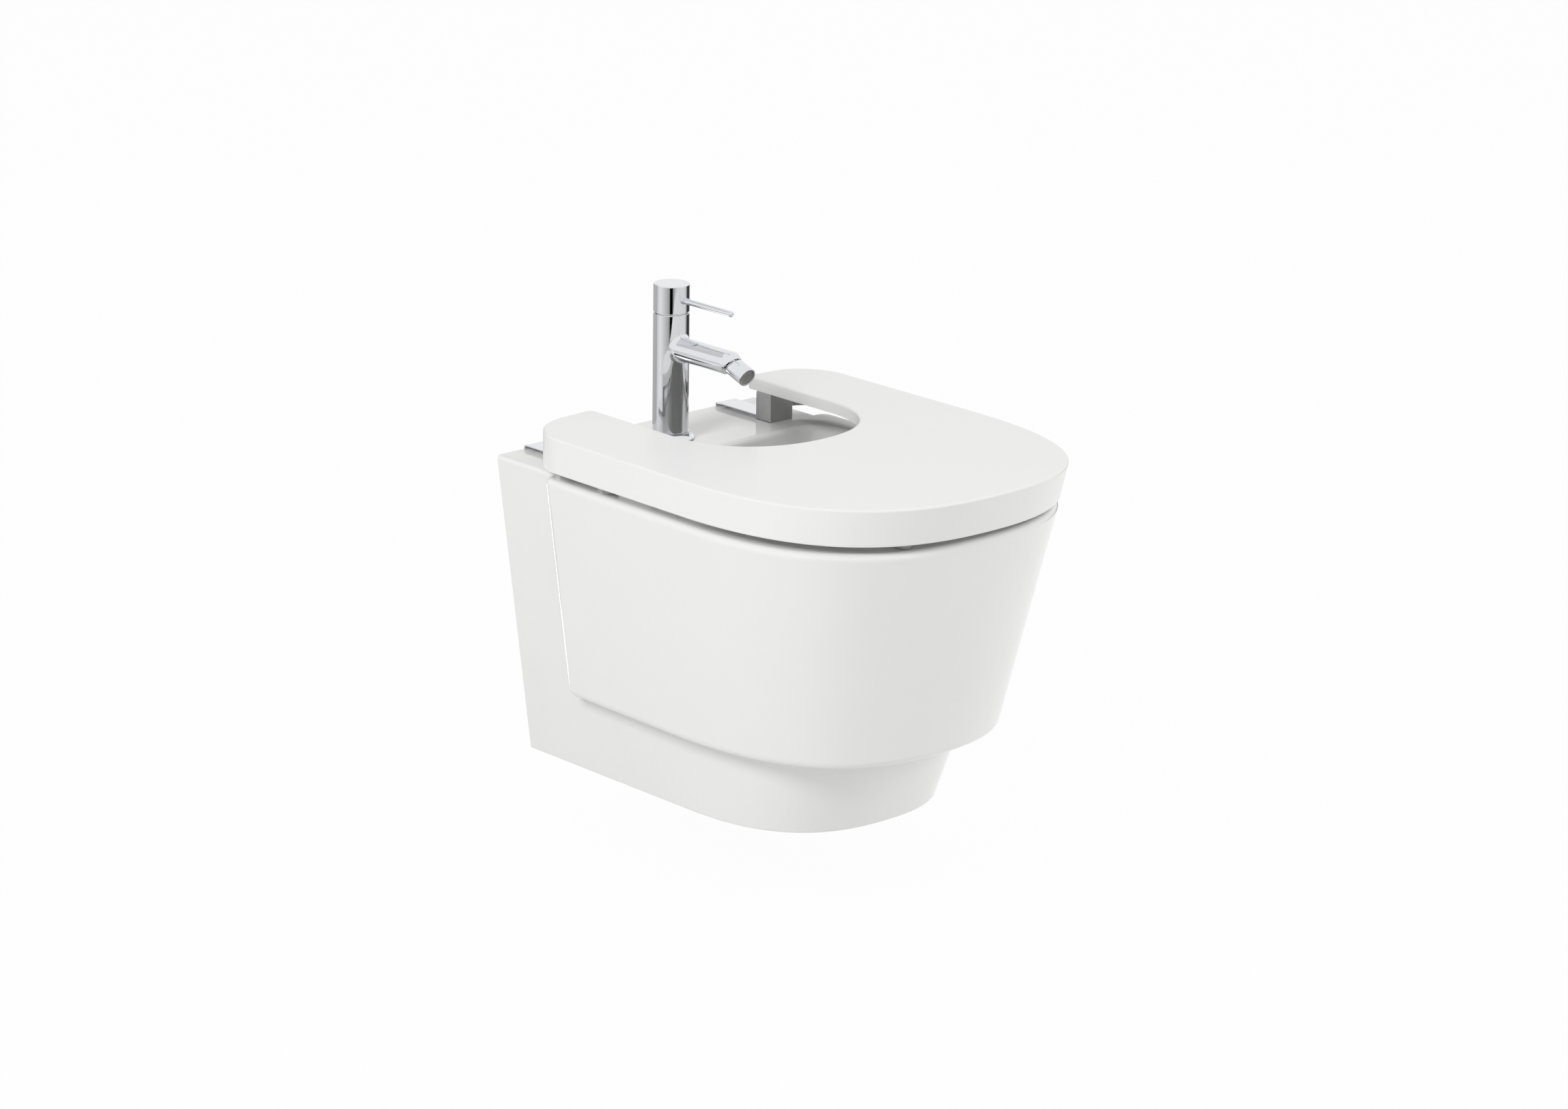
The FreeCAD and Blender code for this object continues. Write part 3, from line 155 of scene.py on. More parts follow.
def turned(profile: Array, foot: Array, axis: Array, angles: Array | None = None) -> Array:
    """Carry a profile of radius and height round an axis.

    A point is foot + height * axis + radius * (cos(angle) * e + sin(angle) * f), where e and f are square to
    the axis and to each other.

    Args:
        profile: rows of radius and height.
        foot: the point of the axis at height 0.
        axis: the axis' direction.
        angles: where the profile stands round the axis; a full turn if left out.

    Returns:
        A grid of points by profile row and angle.
    """
    angles = circle() if angles is None else angles
    side = unit(np.cross(axis, UP if abs(axis[2]) < NEARLY_UPRIGHT else ROOMWARD))
    other = np.cross(axis, side)
    spokes = np.cos(angles)[:, None] * side + np.sin(angles)[:, None] * other
    return foot + profile[:, 1, None, None] * axis + profile[:, 0, None, None] * spokes


def threaded(radius: float, depth: float, pitch: float, low: float, high: float, foot: Array) -> Array:
    """Wind a thread round an upright rod.

    The radius falls from the crest by the thread's depth times a triangle wave of
    height / pitch - angle / turn, and the depth runs out to nothing over the last pitch at either end.

    Args:
        radius: the crest's radius.
        depth: the thread's depth.
        pitch: the rise of one turn.
        low: the height of the lower end.
        high: the height of the upper end.
        foot: the point of the axis at height 0.

    Returns:
        A grid of points by height and angle.
    """
    height = np.linspace(low, high, int((high - low) / pitch * THREAD_ROWS) + 1)[:, None]
    angle = circle(THREAD_PARTS)[None, :]
    wave = np.abs(2 * ((height / pitch - angle / (2 * pi)) % 1) - 1)
    fade = np.clip(np.minimum(height - low, high - height) / pitch, 0, 1)
    ring = radius - depth * wave * fade
    return foot + np.stack([ring * np.cos(angle), ring * np.sin(angle), height + 0 * angle], axis=-1)


def eased(first: Array, corner: Array, last: Array, steps: int = 5) -> Array:
    """Round a corner along the parabola (1 - w)^2 * first + 2 * w * (1 - w) * corner + w^2 * last."""
    w = np.linspace(0, 1, steps + 1)[:, None, None]
    return (1 - w) ** 2 * first + 2 * w * (1 - w) * corner + w ** 2 * last


def inset_prism(outline: Array, low: float, high: float, edge: float, steps: int = 5) -> Array:
    """Carry a closed outline of depth and rise across the part, with its two ends rounded off.

    Near each end the outline draws in along its own normals by edge * (1 - sin(a)) while it moves on by
    edge * (1 - cos(a)), for a from 0 to a quarter turn.

    Args:
        outline: rows of depth and rise.
        low: where the piece starts on x.
        high: where it ends.
        edge: the radius at its two ends.
        steps: the number of parts in that rounding.

    Returns:
        A grid of points by place on x and outline point.
    """
    ahead = np.roll(outline, -1, axis=0)
    along = unit(ahead - np.roll(outline, 1, axis=0))
    normal = np.stack([along[:, 1], -along[:, 0]], axis=1)
    normal *= np.sign(np.sum(outline[:, 0] * ahead[:, 1] - ahead[:, 0] * outline[:, 1]))
    angle = quarter(steps)
    draw, move = edge * (1 - np.sin(angle)), edge * (1 - np.cos(angle))
    inset = np.concatenate([draw, [0, 0], draw[::-1]])
    hold = edge * (1 + HOLD)
    spot = np.concatenate([low + move, [low + hold, high - hold], high - move[::-1]])
    section = outline[None] - normal[None] * inset[:, None, None]
    x = np.broadcast_to(spot[:, None], section.shape[:2])
    return np.stack([x, -section[..., 0], section[..., 1]], axis=-1)


def hang(name: str, data: bpy.types.ID) -> bpy.types.Object:
    """Make an object and link it into the scene.

    Args:
        name: the object's name.
        data: its mesh, lamp or camera.

    Returns:
        The object.
    """
    made = bpy.data.objects.new(name, data)
    bpy.context.scene.collection.objects.link(made)
    return made


@dataclass
class Surface:
    """Points and faces of one piece, gathered patch by patch."""

    points: list[Array] = field(default_factory=list)
    faces: list[list[int]] = field(default_factory=list)
    count: int = 0

    def add(self, points: Array, faces: Array) -> "Surface":
        """Add points and the faces between them.

        Args:
            points: points in any grid.
            faces: rows of points that each bound a face, numbered from 0.

        Returns:
            This surface.
        """
        self.faces += (faces + self.count).tolist()
        self.points.append(points.reshape(-1, 3))
        self.count += len(self.points[-1])
        return self

    def patch(self, grid: Array, wrap: bool = True) -> "Surface":
        """Add a grid of points as quads.

        Args:
            grid: points by row and column.
            wrap: whether the last column joins the first.

        Returns:
            This surface.
        """
        rows, columns = grid.shape[:2]
        row, column = np.meshgrid(np.arange(rows - 1), np.arange(columns - (not wrap)), indexing="ij")
        here, beside = row * columns + column, row * columns + (column + 1) % columns
        quads = np.stack([here, beside, beside + columns, here + columns], axis=-1)
        return self.add(grid, quads.reshape(-1, 4))

    def cap(self, ring: Array) -> "Surface":
        """Add one face inside a closed ring of points."""
        return self.add(ring, np.arange(len(ring))[None])

    def capped(self, grid: Array) -> "Surface":
        """Add a grid that wraps, with a face at its first and its last row."""
        return self.patch(grid).cap(grid[0]).cap(grid[-1])

    def build(self, name: str, outward: bool = True) -> bpy.types.Object:
        """Make the mesh object: merge the seams, turn the faces outwards and shade it smooth.

        Args:
            name: the piece's name.
            outward: whether to turn the faces; an open sheet keeps the side it was drawn with.

        Returns:
            The object, at the origin and in metres.
        """
        mesh = bpy.data.meshes.new(name)
        mesh.from_pydata(np.concatenate(self.points) * MM, [], self.faces)
        work = bmesh.new()
        work.from_mesh(mesh)
        bmesh.ops.remove_doubles(work, verts=work.verts, dist=MERGE * MM)
        bmesh.ops.dissolve_degenerate(work, edges=work.edges, dist=MERGE * MM / 10)
        if outward:
            bmesh.ops.recalc_face_normals(work, faces=work.faces)
        work.to_mesh(mesh)
        work.free()
        mesh.shade_smooth()
        mesh.set_sharp_from_angle(angle=SHARP_ANGLE)
        return hang(name, mesh)


@dataclass(frozen=True)
class NodeBox:
    """Lowest and highest corner of a CAD node at rest."""

    low: Array
    high: Array

    @classmethod
    def of(cls, node: str) -> "NodeBox":
        """Read a node's box from the frame."""
        low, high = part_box(node)
        return cls(np.array(low) / MM, np.array(high) / MM)

    @property
    def centre(self) -> Array:
        """Middle of the box."""
        return (self.low + self.high) / 2

    @property
    def half(self) -> Array:
        """Half the box's size along each axis."""
        return (self.high - self.low) / 2

    @property
    def foot(self) -> Array:
        """Point at height 0 on the upright line through the middle."""
        return np.array((*self.centre[:2], 0.0))

    @property
    def profile(self) -> tuple[float, float, float, float]:
        """Depth of the back and of the front, and height of the foot and of the top."""
        return -self.high[1], -self.low[1], self.low[2], self.high[2]


# Finishes

def linear(code: str) -> tuple[float, float, float, float]:
    """Turn an sRGB colour into a linear one.

    A share v of full brightness becomes v / 12.92 up to 0.04045, and ((v + 0.055) / 1.055) ^ 2.4 above.

    Args:
        code: the colour's hex code.

    Returns:
        Red, green and blue, and an alpha of 1.
    """
    value = np.array([int(code[i:i + 2], 16) for i in (1, 3, 5)]) / 255
    low, high = value / 12.92, ((value + 0.055) / 1.055) ** 2.4
    return (*np.where(value <= 0.04045, low, high).tolist(), 1.0)


def bare_tree(owner: bpy.types.Material | bpy.types.World) -> bpy.types.NodeTree:
    """Turn on the nodes of a material or of the world, and clear them.

    Args:
        owner: the material or the world.

    Returns:
        Its empty node tree.
    """
    owner.use_nodes = True
    owner.node_tree.nodes.clear()
    return owner.node_tree


def add_node(tree: bpy.types.NodeTree, kind: str, fields: dict | None = None,
             inputs: dict | None = None) -> bpy.types.Node:
    """Add a shader node with its settings and links.

    Args:
        tree: the node tree that takes the node.
        kind: the node's type name.
        fields: values of the node's own settings.
        inputs: for an input's name or number, a value or the output that links to it.

    Returns:
        The new node.
    """
    node = tree.nodes.new(kind)
    for name, value in (fields or {}).items():
        setattr(node, name, value)
    for key, value in (inputs or {}).items():
        if isinstance(value, Socket):
            tree.links.new(value, node.inputs[key])
        else:
            node.inputs[key].default_value = value
    return node


def per_metre(size: float) -> float:
    """Texture scale at which one feature of the pattern measures size millimetres."""
    return 1 / (size * MM)


@dataclass(frozen=True)
class Finish:
    """A material with two shades that drift into each other, a gloss that varies and a fine relief.

    The sizes of the patches and of the relief are millimetres on the real surface.
    """

    name: str
    colour: str
    shade: str
    gloss: tuple[float, float]
    patch: float
    grain: float
    relief: float
    swell: float = 0.0
    swell_relief: float = 0.0
    stretch: tuple[float, float, float] = (1.0, 1.0, 1.0)
    constants: tuple[tuple[str, float], ...] = ()

    def material(self) -> bpy.types.Material:
        """Make the material once and give the same one after that.

        Returns:
            The material.
        """
        made = bpy.data.materials.get(self.name)
        if made is None:
            made = bpy.data.materials.new(self.name)
            tree = bare_tree(made)
            inputs = self.pattern(tree) | dict(self.constants)
            shader = add_node(tree, "ShaderNodeBsdfPrincipled", inputs=inputs)
            add_node(tree, "ShaderNodeOutputMaterial", inputs={"Surface": shader.outputs["BSDF"]})
        return made

    def pattern(self, tree: bpy.types.NodeTree) -> dict[str, Socket]:
        """Add the nodes that vary over the surface.

        Args:
            tree: the material's node tree.

        Returns:
            The outputs for the shader's colour, roughness and normal.
        """
        spot = add_node(tree, "ShaderNodeTexCoord").outputs["Object"]
        drawn = add_node(tree, "ShaderNodeMapping", inputs={"Vector": spot, "Scale": self.stretch})
        drift = add_node(tree, "ShaderNodeTexNoise", inputs={
            "Vector": spot, "Scale": per_metre(self.patch), "Detail": 3.0, "Roughness": 0.55})
        colour = add_node(tree, "ShaderNodeMix", {"data_type": "RGBA"}, {
            0: drift.outputs["Fac"], 6: linear(self.colour), 7: linear(self.shade)})
        gloss = add_node(tree, "ShaderNodeMapRange", inputs={
            "Value": drift.outputs["Fac"], "To Min": self.gloss[0], "To Max": self.gloss[1]})
        grain = add_node(tree, "ShaderNodeTexNoise", inputs={
            "Vector": drawn.outputs["Vector"], "Scale": per_metre(self.grain), "Detail": 2.0})
        bump = add_node(tree, "ShaderNodeBump", inputs={
            "Strength": 1.0, "Distance": self.relief * MM, "Height": grain.outputs["Fac"]})
        if self.swell:
            slow = add_node(tree, "ShaderNodeTexNoise", inputs={
                "Vector": spot, "Scale": per_metre(self.swell), "Detail": 0.0})
            bump = add_node(tree, "ShaderNodeBump", inputs={
                "Strength": 1.0, "Distance": self.swell_relief * MM, "Height": slow.outputs["Fac"],
                "Normal": bump.outputs["Normal"]})
        return {"Base Color": colour.outputs[2], "Roughness": gloss.outputs["Result"],
                "Normal": bump.outputs["Normal"]}


METAL = ("Metallic", 1.0)
FINISHES: dict[Slot, Finish] = {
    # Vitreous china under a dipped and fired glaze: mirror gloss with a slow ripple and a faint orange peel
    Slot.GLAZE: Finish("glazed_vitreous_china", "#EFEFEE", "#ECECEA", (0.07, 0.12), 90.0, 3.5, 0.0008,
                       32.0, 0.02, constants=(("IOR", 1.52), ("Specular IOR Level", 0.5))),
    # Compression-moulded urea resin: a satin gloss with a very fine moulding grain
    Slot.LID: Finish("moulded_urea_resin", "#F0F0EF", "#EEEEED", (0.28, 0.31), 60.0, 1.6, 0.0003,
                     45.0, 0.015, constants=(("IOR", 1.5),)),
    # Brass that is polished, nickelled and chromed: sharp reflections, with faint wiping marks
    Slot.CHROME: Finish("polished_chrome_plate", "#E3E4E7", "#DFE0E3", (0.035, 0.07), 14.0, 2.2, 0.0002,
                        stretch=(1.0, 1.0, 0.3), constants=(METAL,)),
    # Die-cast zinc, bead-blasted and plated: an even satin with a fine grain
    Slot.SATIN: Finish("satin_plated_zinc", "#B4B4B4", "#A8A8A9", (0.34, 0.44), 9.0, 0.5, 0.004,
                       constants=(METAL,)),
    # Cold-drawn stainless steel: fine lines along the bar
    Slot.STEEL: Finish("drawn_stainless_steel", "#BDBDBC", "#A9A9A9", (0.28, 0.38), 6.0, 0.7, 0.006,
                       stretch=(1.0, 1.0, 0.08), constants=(METAL,)),
    # Turned brass: fine rings round the axis and a warm drift of colour
    Slot.BRASS: Finish("turned_brass", "#C9A55F", "#B58F4B", (0.28, 0.36), 8.0, 0.6, 0.006,
                       stretch=(0.1, 0.1, 1.0), constants=(METAL,)),
    # Moulded black rubber: matt, with a dusty bloom in patches
    Slot.RUBBER: Finish("moulded_black_rubber", "#1B1B1C", "#2A2A2A", (0.62, 0.80), 12.0, 0.6, 0.02,
                        constants=(("IOR", 1.52),)),
    # Clear soft rubber: milky, with a soft sheen
    Slot.CLEAR: Finish("clear_soft_rubber", "#DDDFDC", "#D3D6D2", (0.32, 0.42), 7.0, 0.8, 0.01,
                       constants=(("IOR", 1.45), ("Transmission Weight", 0.55))),
    # Injection-moulded nylon: waxy white with a fine spark-eroded texture
    Slot.NYLON: Finish("moulded_nylon", "#E6E5DF", "#DCDBD4", (0.40, 0.52), 10.0, 0.5, 0.012,
                       constants=(("IOR", 1.53),)),
    # Lapped alumina: dense ivory white with an even, close grain
    Slot.VALVE: Finish("lapped_alumina", "#EFEBE2", "#E6E1D6", (0.28, 0.34), 5.0, 0.3, 0.003,
                       constants=(("IOR", 1.76),)),
}


def place(surface: Surface, name: str, body: Body, slot: Slot, node: str) -> None:
    """Finish a piece: build it, dress it, and hang it on its body in place of its CAD node.

    Args:
        surface: the piece's surface.
        name: the piece's name.
        body: the body that carries it.
        slot: the record's material slot.
        node: the CAD node that it stands for.
    """
    piece = surface.build(name)
    piece.data.materials.append(FINISHES[slot].material())
    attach(piece, body.value)
    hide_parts(node)
    LOG.info("%s: %d faces on %s", name, len(piece.data.polygons), body.value)


# Sub-assemblies

@dataclass(frozen=True)
class BallJoint:
    """Place and socket of the nozzle's ball joint at the spout's end."""

    depth: float = 147.0
    height: float = 189.0
    socket: float = 10.3
    socket_tilt: float = 37.0
    face: float = 4.2

    @property
    def centre(self) -> Array:
        """Middle of the ball."""
        return np.array((0.0, -self.depth, self.height))

    @property
    def socket_axis(self) -> Array:
        """Direction in which the socket opens."""
        return np.array((0.0, -cos(radians(self.socket_tilt)), -sin(radians(self.socket_tilt))))


JOINT = BallJoint()


@dataclass
class TapBody:
    """Base ring, column and spout of the tap."""

    edge: float = 0.4
    base_lip: float = 1.6
    base_top: float = 0.7
    flare_parts: int = 14
    spigot: float = 15.4
    inlet: float = 4.5
    inlet_offset: float = 7.0
    inlet_ahead: float = 5.0
    inlet_depth: float = 22.0
    stud_hole: float = 4.1
    stud_behind: float = 9.0
    stud_depth: float = 18.0
    bore_parts: int = 48
    nut_bore: float = 15.5
    nut_depth: float = 7.0
    root_share: float = 0.6
    root_fillet: float = 3.2
    root_parts: int = 8
    spout_parts: int = 128
    spout_rows: int = 40
    socket_parts: int = 12
    lip: float = 0.4

    def __post_init__(self) -> None:
        """Read the tap's place and main sizes from the frame."""
        column, ring = NodeBox.of("tap_column"), NodeBox.of("tap_base_ring")
        self.foot, self.radius = column.foot, column.half[0]
        self.low, self.high = column.low[2], column.high[2]
        self.ring_radius, self.ring_high = ring.half[0], ring.high[2]
        self.spout_radius = NodeBox.of("tap_spout").half[0]

    def base_ring(self) -> Surface:
        """Turn the flared ring: above its lip it draws in along a quarter of a hollow ellipse.

        Returns:
            The ring's surface.
        """
        sweep = quarter(self.flare_parts)
        top, lip = self.radius + self.base_top, self.low + self.base_lip
        flare = np.stack([self.ring_radius - (self.ring_radius - top) * np.sin(sweep),
                          lip + (self.ring_high - lip) * (1 - np.cos(sweep))], axis=1)
        foot = rounded([(self.spigot, self.low, 0), (self.ring_radius, self.low, self.edge),
                        (self.ring_radius, lip, self.edge), (self.ring_radius - self.edge, lip, 0)])
        neck = np.array([(self.spigot, self.ring_high), (self.spigot, self.low)])
        return Surface().patch(turned(np.concatenate([foot, flare[2:], neck]), self.foot, UP))

    def column(self) -> Surface:
        """Turn the column, open at its foot, and in it the bores of the supplies and the stud, each closed.

        Returns:
            The column's surface.
        """
        inner_end = self.high - self.nut_depth
        wall = rounded([(self.spigot, self.low, 0), (self.spigot, self.ring_high, 0),
                        (self.radius, self.ring_high, self.edge), (self.radius, self.high, self.edge),
                        (self.nut_bore, self.high, self.edge), (self.nut_bore, inner_end, 0),
                        (0, inner_end, 0)])
        surface = Surface().patch(turned(wall, self.foot, UP))
        bores = [(side * self.inlet_offset, -self.inlet_ahead, self.inlet, self.inlet_depth)
                 for side in (-1, 1)]
        bores.append((0.0, self.stud_behind, self.stud_hole, self.stud_depth))
        for x, y, radius, depth in bores:
            end = self.low + depth
            profile = np.array([(radius, self.low), (radius, end), (0, end)])
            grid = turned(profile, self.foot + np.array((x, y, 0)), UP, circle(self.bore_parts))
            surface.patch(grid).cap(grid[0])
        return surface

    def arm(self, length: Array, angle: Array) -> Array:
        """Find points of the spout's outside.

        Up to the ball's centre the spout is a tube. Beyond it the outside bends over a dome of the same
        radius R: the radius there is R * cos(p) and the depth grows by R * sin(p), where p is the length past
        the centre over R.

        Args:
            length: the length along the spout.
            angle: the angle round it.

        Returns:
            The points, in the grid of the lengths.
        """
        bend = np.maximum(length - JOINT.depth, 0) / self.spout_radius
        radius = self.spout_radius * np.cos(bend)
        depth = np.minimum(length, JOINT.depth) + self.spout_radius * np.sin(bend)
        return np.stack([radius * np.cos(angle), -depth, JOINT.height + radius * np.sin(angle)], axis=-1)

    def cut_length(self, angle: Array) -> Array:
        """Find where the socket's face cuts the spout.

        On the tube the face stands at (face + R * sin(t) * sin(a)) / cos(a) past the ball's centre, where a
        is the socket's tilt and t the angle round the spout. On the dome the bend p at the face is
        d + asin(face / m), where m and d are the length and the direction of the vector
        (R * cos(a), R * sin(a) * sin(t)).

        Args:
            angle: the angles round the spout.

        Returns:
            The length along the spout at each angle.
        """
        tilt, radius = radians(JOINT.socket_tilt), self.spout_radius
        straight = (JOINT.face + radius * np.sin(angle) * sin(tilt)) / cos(tilt)
        level, upright = radius * cos(tilt), radius * sin(tilt) * np.sin(angle)
        bend = np.arctan2(upright, level) + np.arcsin(JOINT.face / np.hypot(level, upright))
        return JOINT.depth + np.where(straight < 0, straight, radius * bend)

    def spout(self) -> Surface:
        """Carry the spout out from the column to its cut face, and on into the ball's socket.

        The root lies where the column's surface stands at the same x, and flares into it along a quarter
        circle. The face is a flat ring from the cut edge to the socket, which is a short cylinder and a
        hollow half sphere.

        Returns:
            The spout's surface.
        """
        angle = circle(self.spout_parts)
        sweep = quarter(self.root_parts)[:, None]
        flare = self.spout_radius + self.root_fillet * (1 - np.sin(sweep))
        middle = -self.foot[1]
        stand = middle + np.sqrt(self.radius ** 2 - (flare * np.cos(angle)) ** 2)
        stand = stand + self.root_fillet * (1 - np.cos(sweep))
        root = np.stack([flare * np.cos(angle), -stand, JOINT.height + flare * np.sin(angle)], axis=-1)
        core = self.root_share * self.spout_radius
        inner = np.stack([core * np.cos(angle), np.full_like(angle, -middle),
                          JOINT.height + core * np.sin(angle)], axis=-1)
        cut = self.cut_length(angle)
        share = np.linspace(0, 1, self.spout_rows)[1:, None]
        outside = self.arm(stand[-1] + (cut - self.lip - stand[-1]) * share, angle)
        edge = self.arm(cut, angle)
        axis, over = JOINT.socket_axis, np.cross(ACROSS, JOINT.socket_axis)
        spoke = unit((edge - JOINT.centre) @ np.stack([ACROSS, over], axis=1)) @ np.stack([ACROSS, over])
        rim = JOINT.centre + JOINT.face * axis + JOINT.socket * spoke
        lip = eased(outside[-1], edge, edge + self.lip * unit(rim - edge))[1:]
        turn = quarter(self.socket_parts)[:, None, None]
        hollow = JOINT.centre + JOINT.socket * (np.cos(turn) * spoke - np.sin(turn) * axis)
        grid = np.concatenate([inner[None], root, outside, lip, rim[None], hollow])
        return Surface().patch(grid).cap(grid[0])

    def build(self) -> None:
        """Make the pieces."""
        place(self.base_ring(), "chromed_base_ring", Body.PAN, Slot.CHROME, "tap_base_ring")
        place(self.column(), "chromed_tap_column", Body.PAN, Slot.CHROME, "tap_column")
        place(self.spout(), "chromed_spout", Body.PAN, Slot.CHROME, "tap_spout")


@dataclass
class Nozzle:
    """Ball, sleeve and wire mesh of the swivel nozzle."""

    tilt: float = 19.7
    ball: float = 8.6
    ball_rows: int = 48
    neck: float = 5.0
    neck_end: float = 14.0
    radius: float = 9.6
    mitre_gap: float = 2.5
    skirt: float = 8.2
    skirt_end: float = 10.5
    end: float = 28.0
    bore: float = 7.8
    front_run: float = 3.6
    front_edge: float = 0.9
    back_edge: float = 0.4
    mesh_middle: float = 26.8
    mesh_radius: float = 7.65
    wire: float = 0.19
    wire_sides: int = 6
    wire_rows: int = 56
    pitch: float = 1.05
    wires: int = 15

    def __post_init__(self) -> None:
        """Find the nozzle's axis."""
        angle = radians(self.tilt)
        self.axis = np.array((0.0, -cos(angle), -sin(angle)))

    def ball_and_neck(self) -> Surface:
        """Turn the ball and the neck that joins it to the sleeve.

        Returns:
            The surface of both.
        """
        meet = np.arccos(sqrt(1 - (self.neck / self.ball) ** 2))
        sweep = np.linspace(pi, meet, self.ball_rows)
        globe = self.ball * np.stack([np.sin(sweep), np.cos(sweep)], axis=1)
        shank = np.array([(self.neck, self.neck_end), (0, self.neck_end)])
        return Surface().patch(turned(np.concatenate([globe, shank]), JOINT.centre, self.axis))

    def sleeve(self) -> Surface:
        """Turn the sleeve: a tube with a wall that closes on the neck and a back end cut on the slant.

        The cut lies parallel to the spout's face. A spoke k at the radius r meets it at the distance
        (gap - r * (k . s)) / (n . s) along the nozzle, where n is the nozzle's axis and s the socket's.

        Returns:
            The sleeve's surface.
        """
        angle = circle()
        spokes = turned(np.array([(1.0, 0.0)]), np.zeros(3), self.axis, angle)[0]
        socket, gap = JOINT.socket_axis, JOINT.face + self.mitre_gap

        def slant(radius: float, beyond: float = 0.0) -> Array:
            """Points on the slanting cut at a radius, or a distance beyond it."""
            reach = (gap - radius * (spokes @ socket)) / (self.axis @ socket) + beyond
            return JOINT.centre + reach[:, None] * self.axis + radius * spokes

        heel = eased(slant(self.radius - self.back_edge), slant(self.radius),
                     slant(self.radius, self.back_edge))
        front = rounded([(self.radius, self.end - self.front_run, 0),
                         (self.radius, self.end, self.front_edge), (self.bore, self.end, self.front_edge / 2),
                         (self.bore, self.neck_end, 0), (self.neck, self.neck_end, 0),
                         (self.neck, self.skirt_end, 0), (self.skirt, self.skirt_end, 0)])
        tube = turned(front, JOINT.centre, self.axis, angle)
        lip = slant(self.skirt)[None]
        return Surface().patch(np.concatenate([lip, heel, tube, lip]))

    def mesh(self) -> Surface:
        """Weave two sets of wires.

        A wire at the offset v runs as far as the round frame, to sqrt(r * r - v * v), and passes over and
        under the wires it crosses: its height is the wire's radius times cos(pi * u / pitch), turned over
        from each wire to the next and from one set to the other.

        Returns:
            The surface of all the wires.
        """
        foot = JOINT.centre + self.axis * self.mesh_middle
        rise = np.cross(ACROSS, self.axis)
        offset = (np.arange(self.wires) - (self.wires - 1) / 2) * self.pitch
        outermost = self.mesh_radius - self.wire
        reach = np.sqrt(self.mesh_radius ** 2 - np.minimum(np.abs(offset), outermost) ** 2)
        side = circle(self.wire_sides)
        surface = Surface()
        for first, second, turn in ((ACROSS, rise, 0), (rise, ACROSS, 1)):
            for number, (v, half) in enumerate(zip(offset, reach)):
                u = np.linspace(-half, half, self.wire_rows)
                wave = self.wire * np.cos(pi * u / self.pitch) * (-1) ** (number + turn)
                line = foot + u[:, None] * first + v * second + wave[:, None] * self.axis
                spoke = self.wire * (np.cos(side)[:, None] * second + np.sin(side)[:, None] * self.axis)
                surface.capped(line[:, None] + spoke)
        return surface

    def build(self) -> None:
        """Make the pieces."""
        place(self.ball_and_neck(), "chromed_nozzle_ball", Body.NOZZLE, Slot.CHROME, "nozzle_ball")
        place(self.sleeve(), "chromed_nozzle_sleeve", Body.NOZZLE, Slot.CHROME, "nozzle_sleeve")
        place(self.mesh(), "woven_aerator_mesh", Body.NOZZLE, Slot.STEEL, "aerator_mesh")


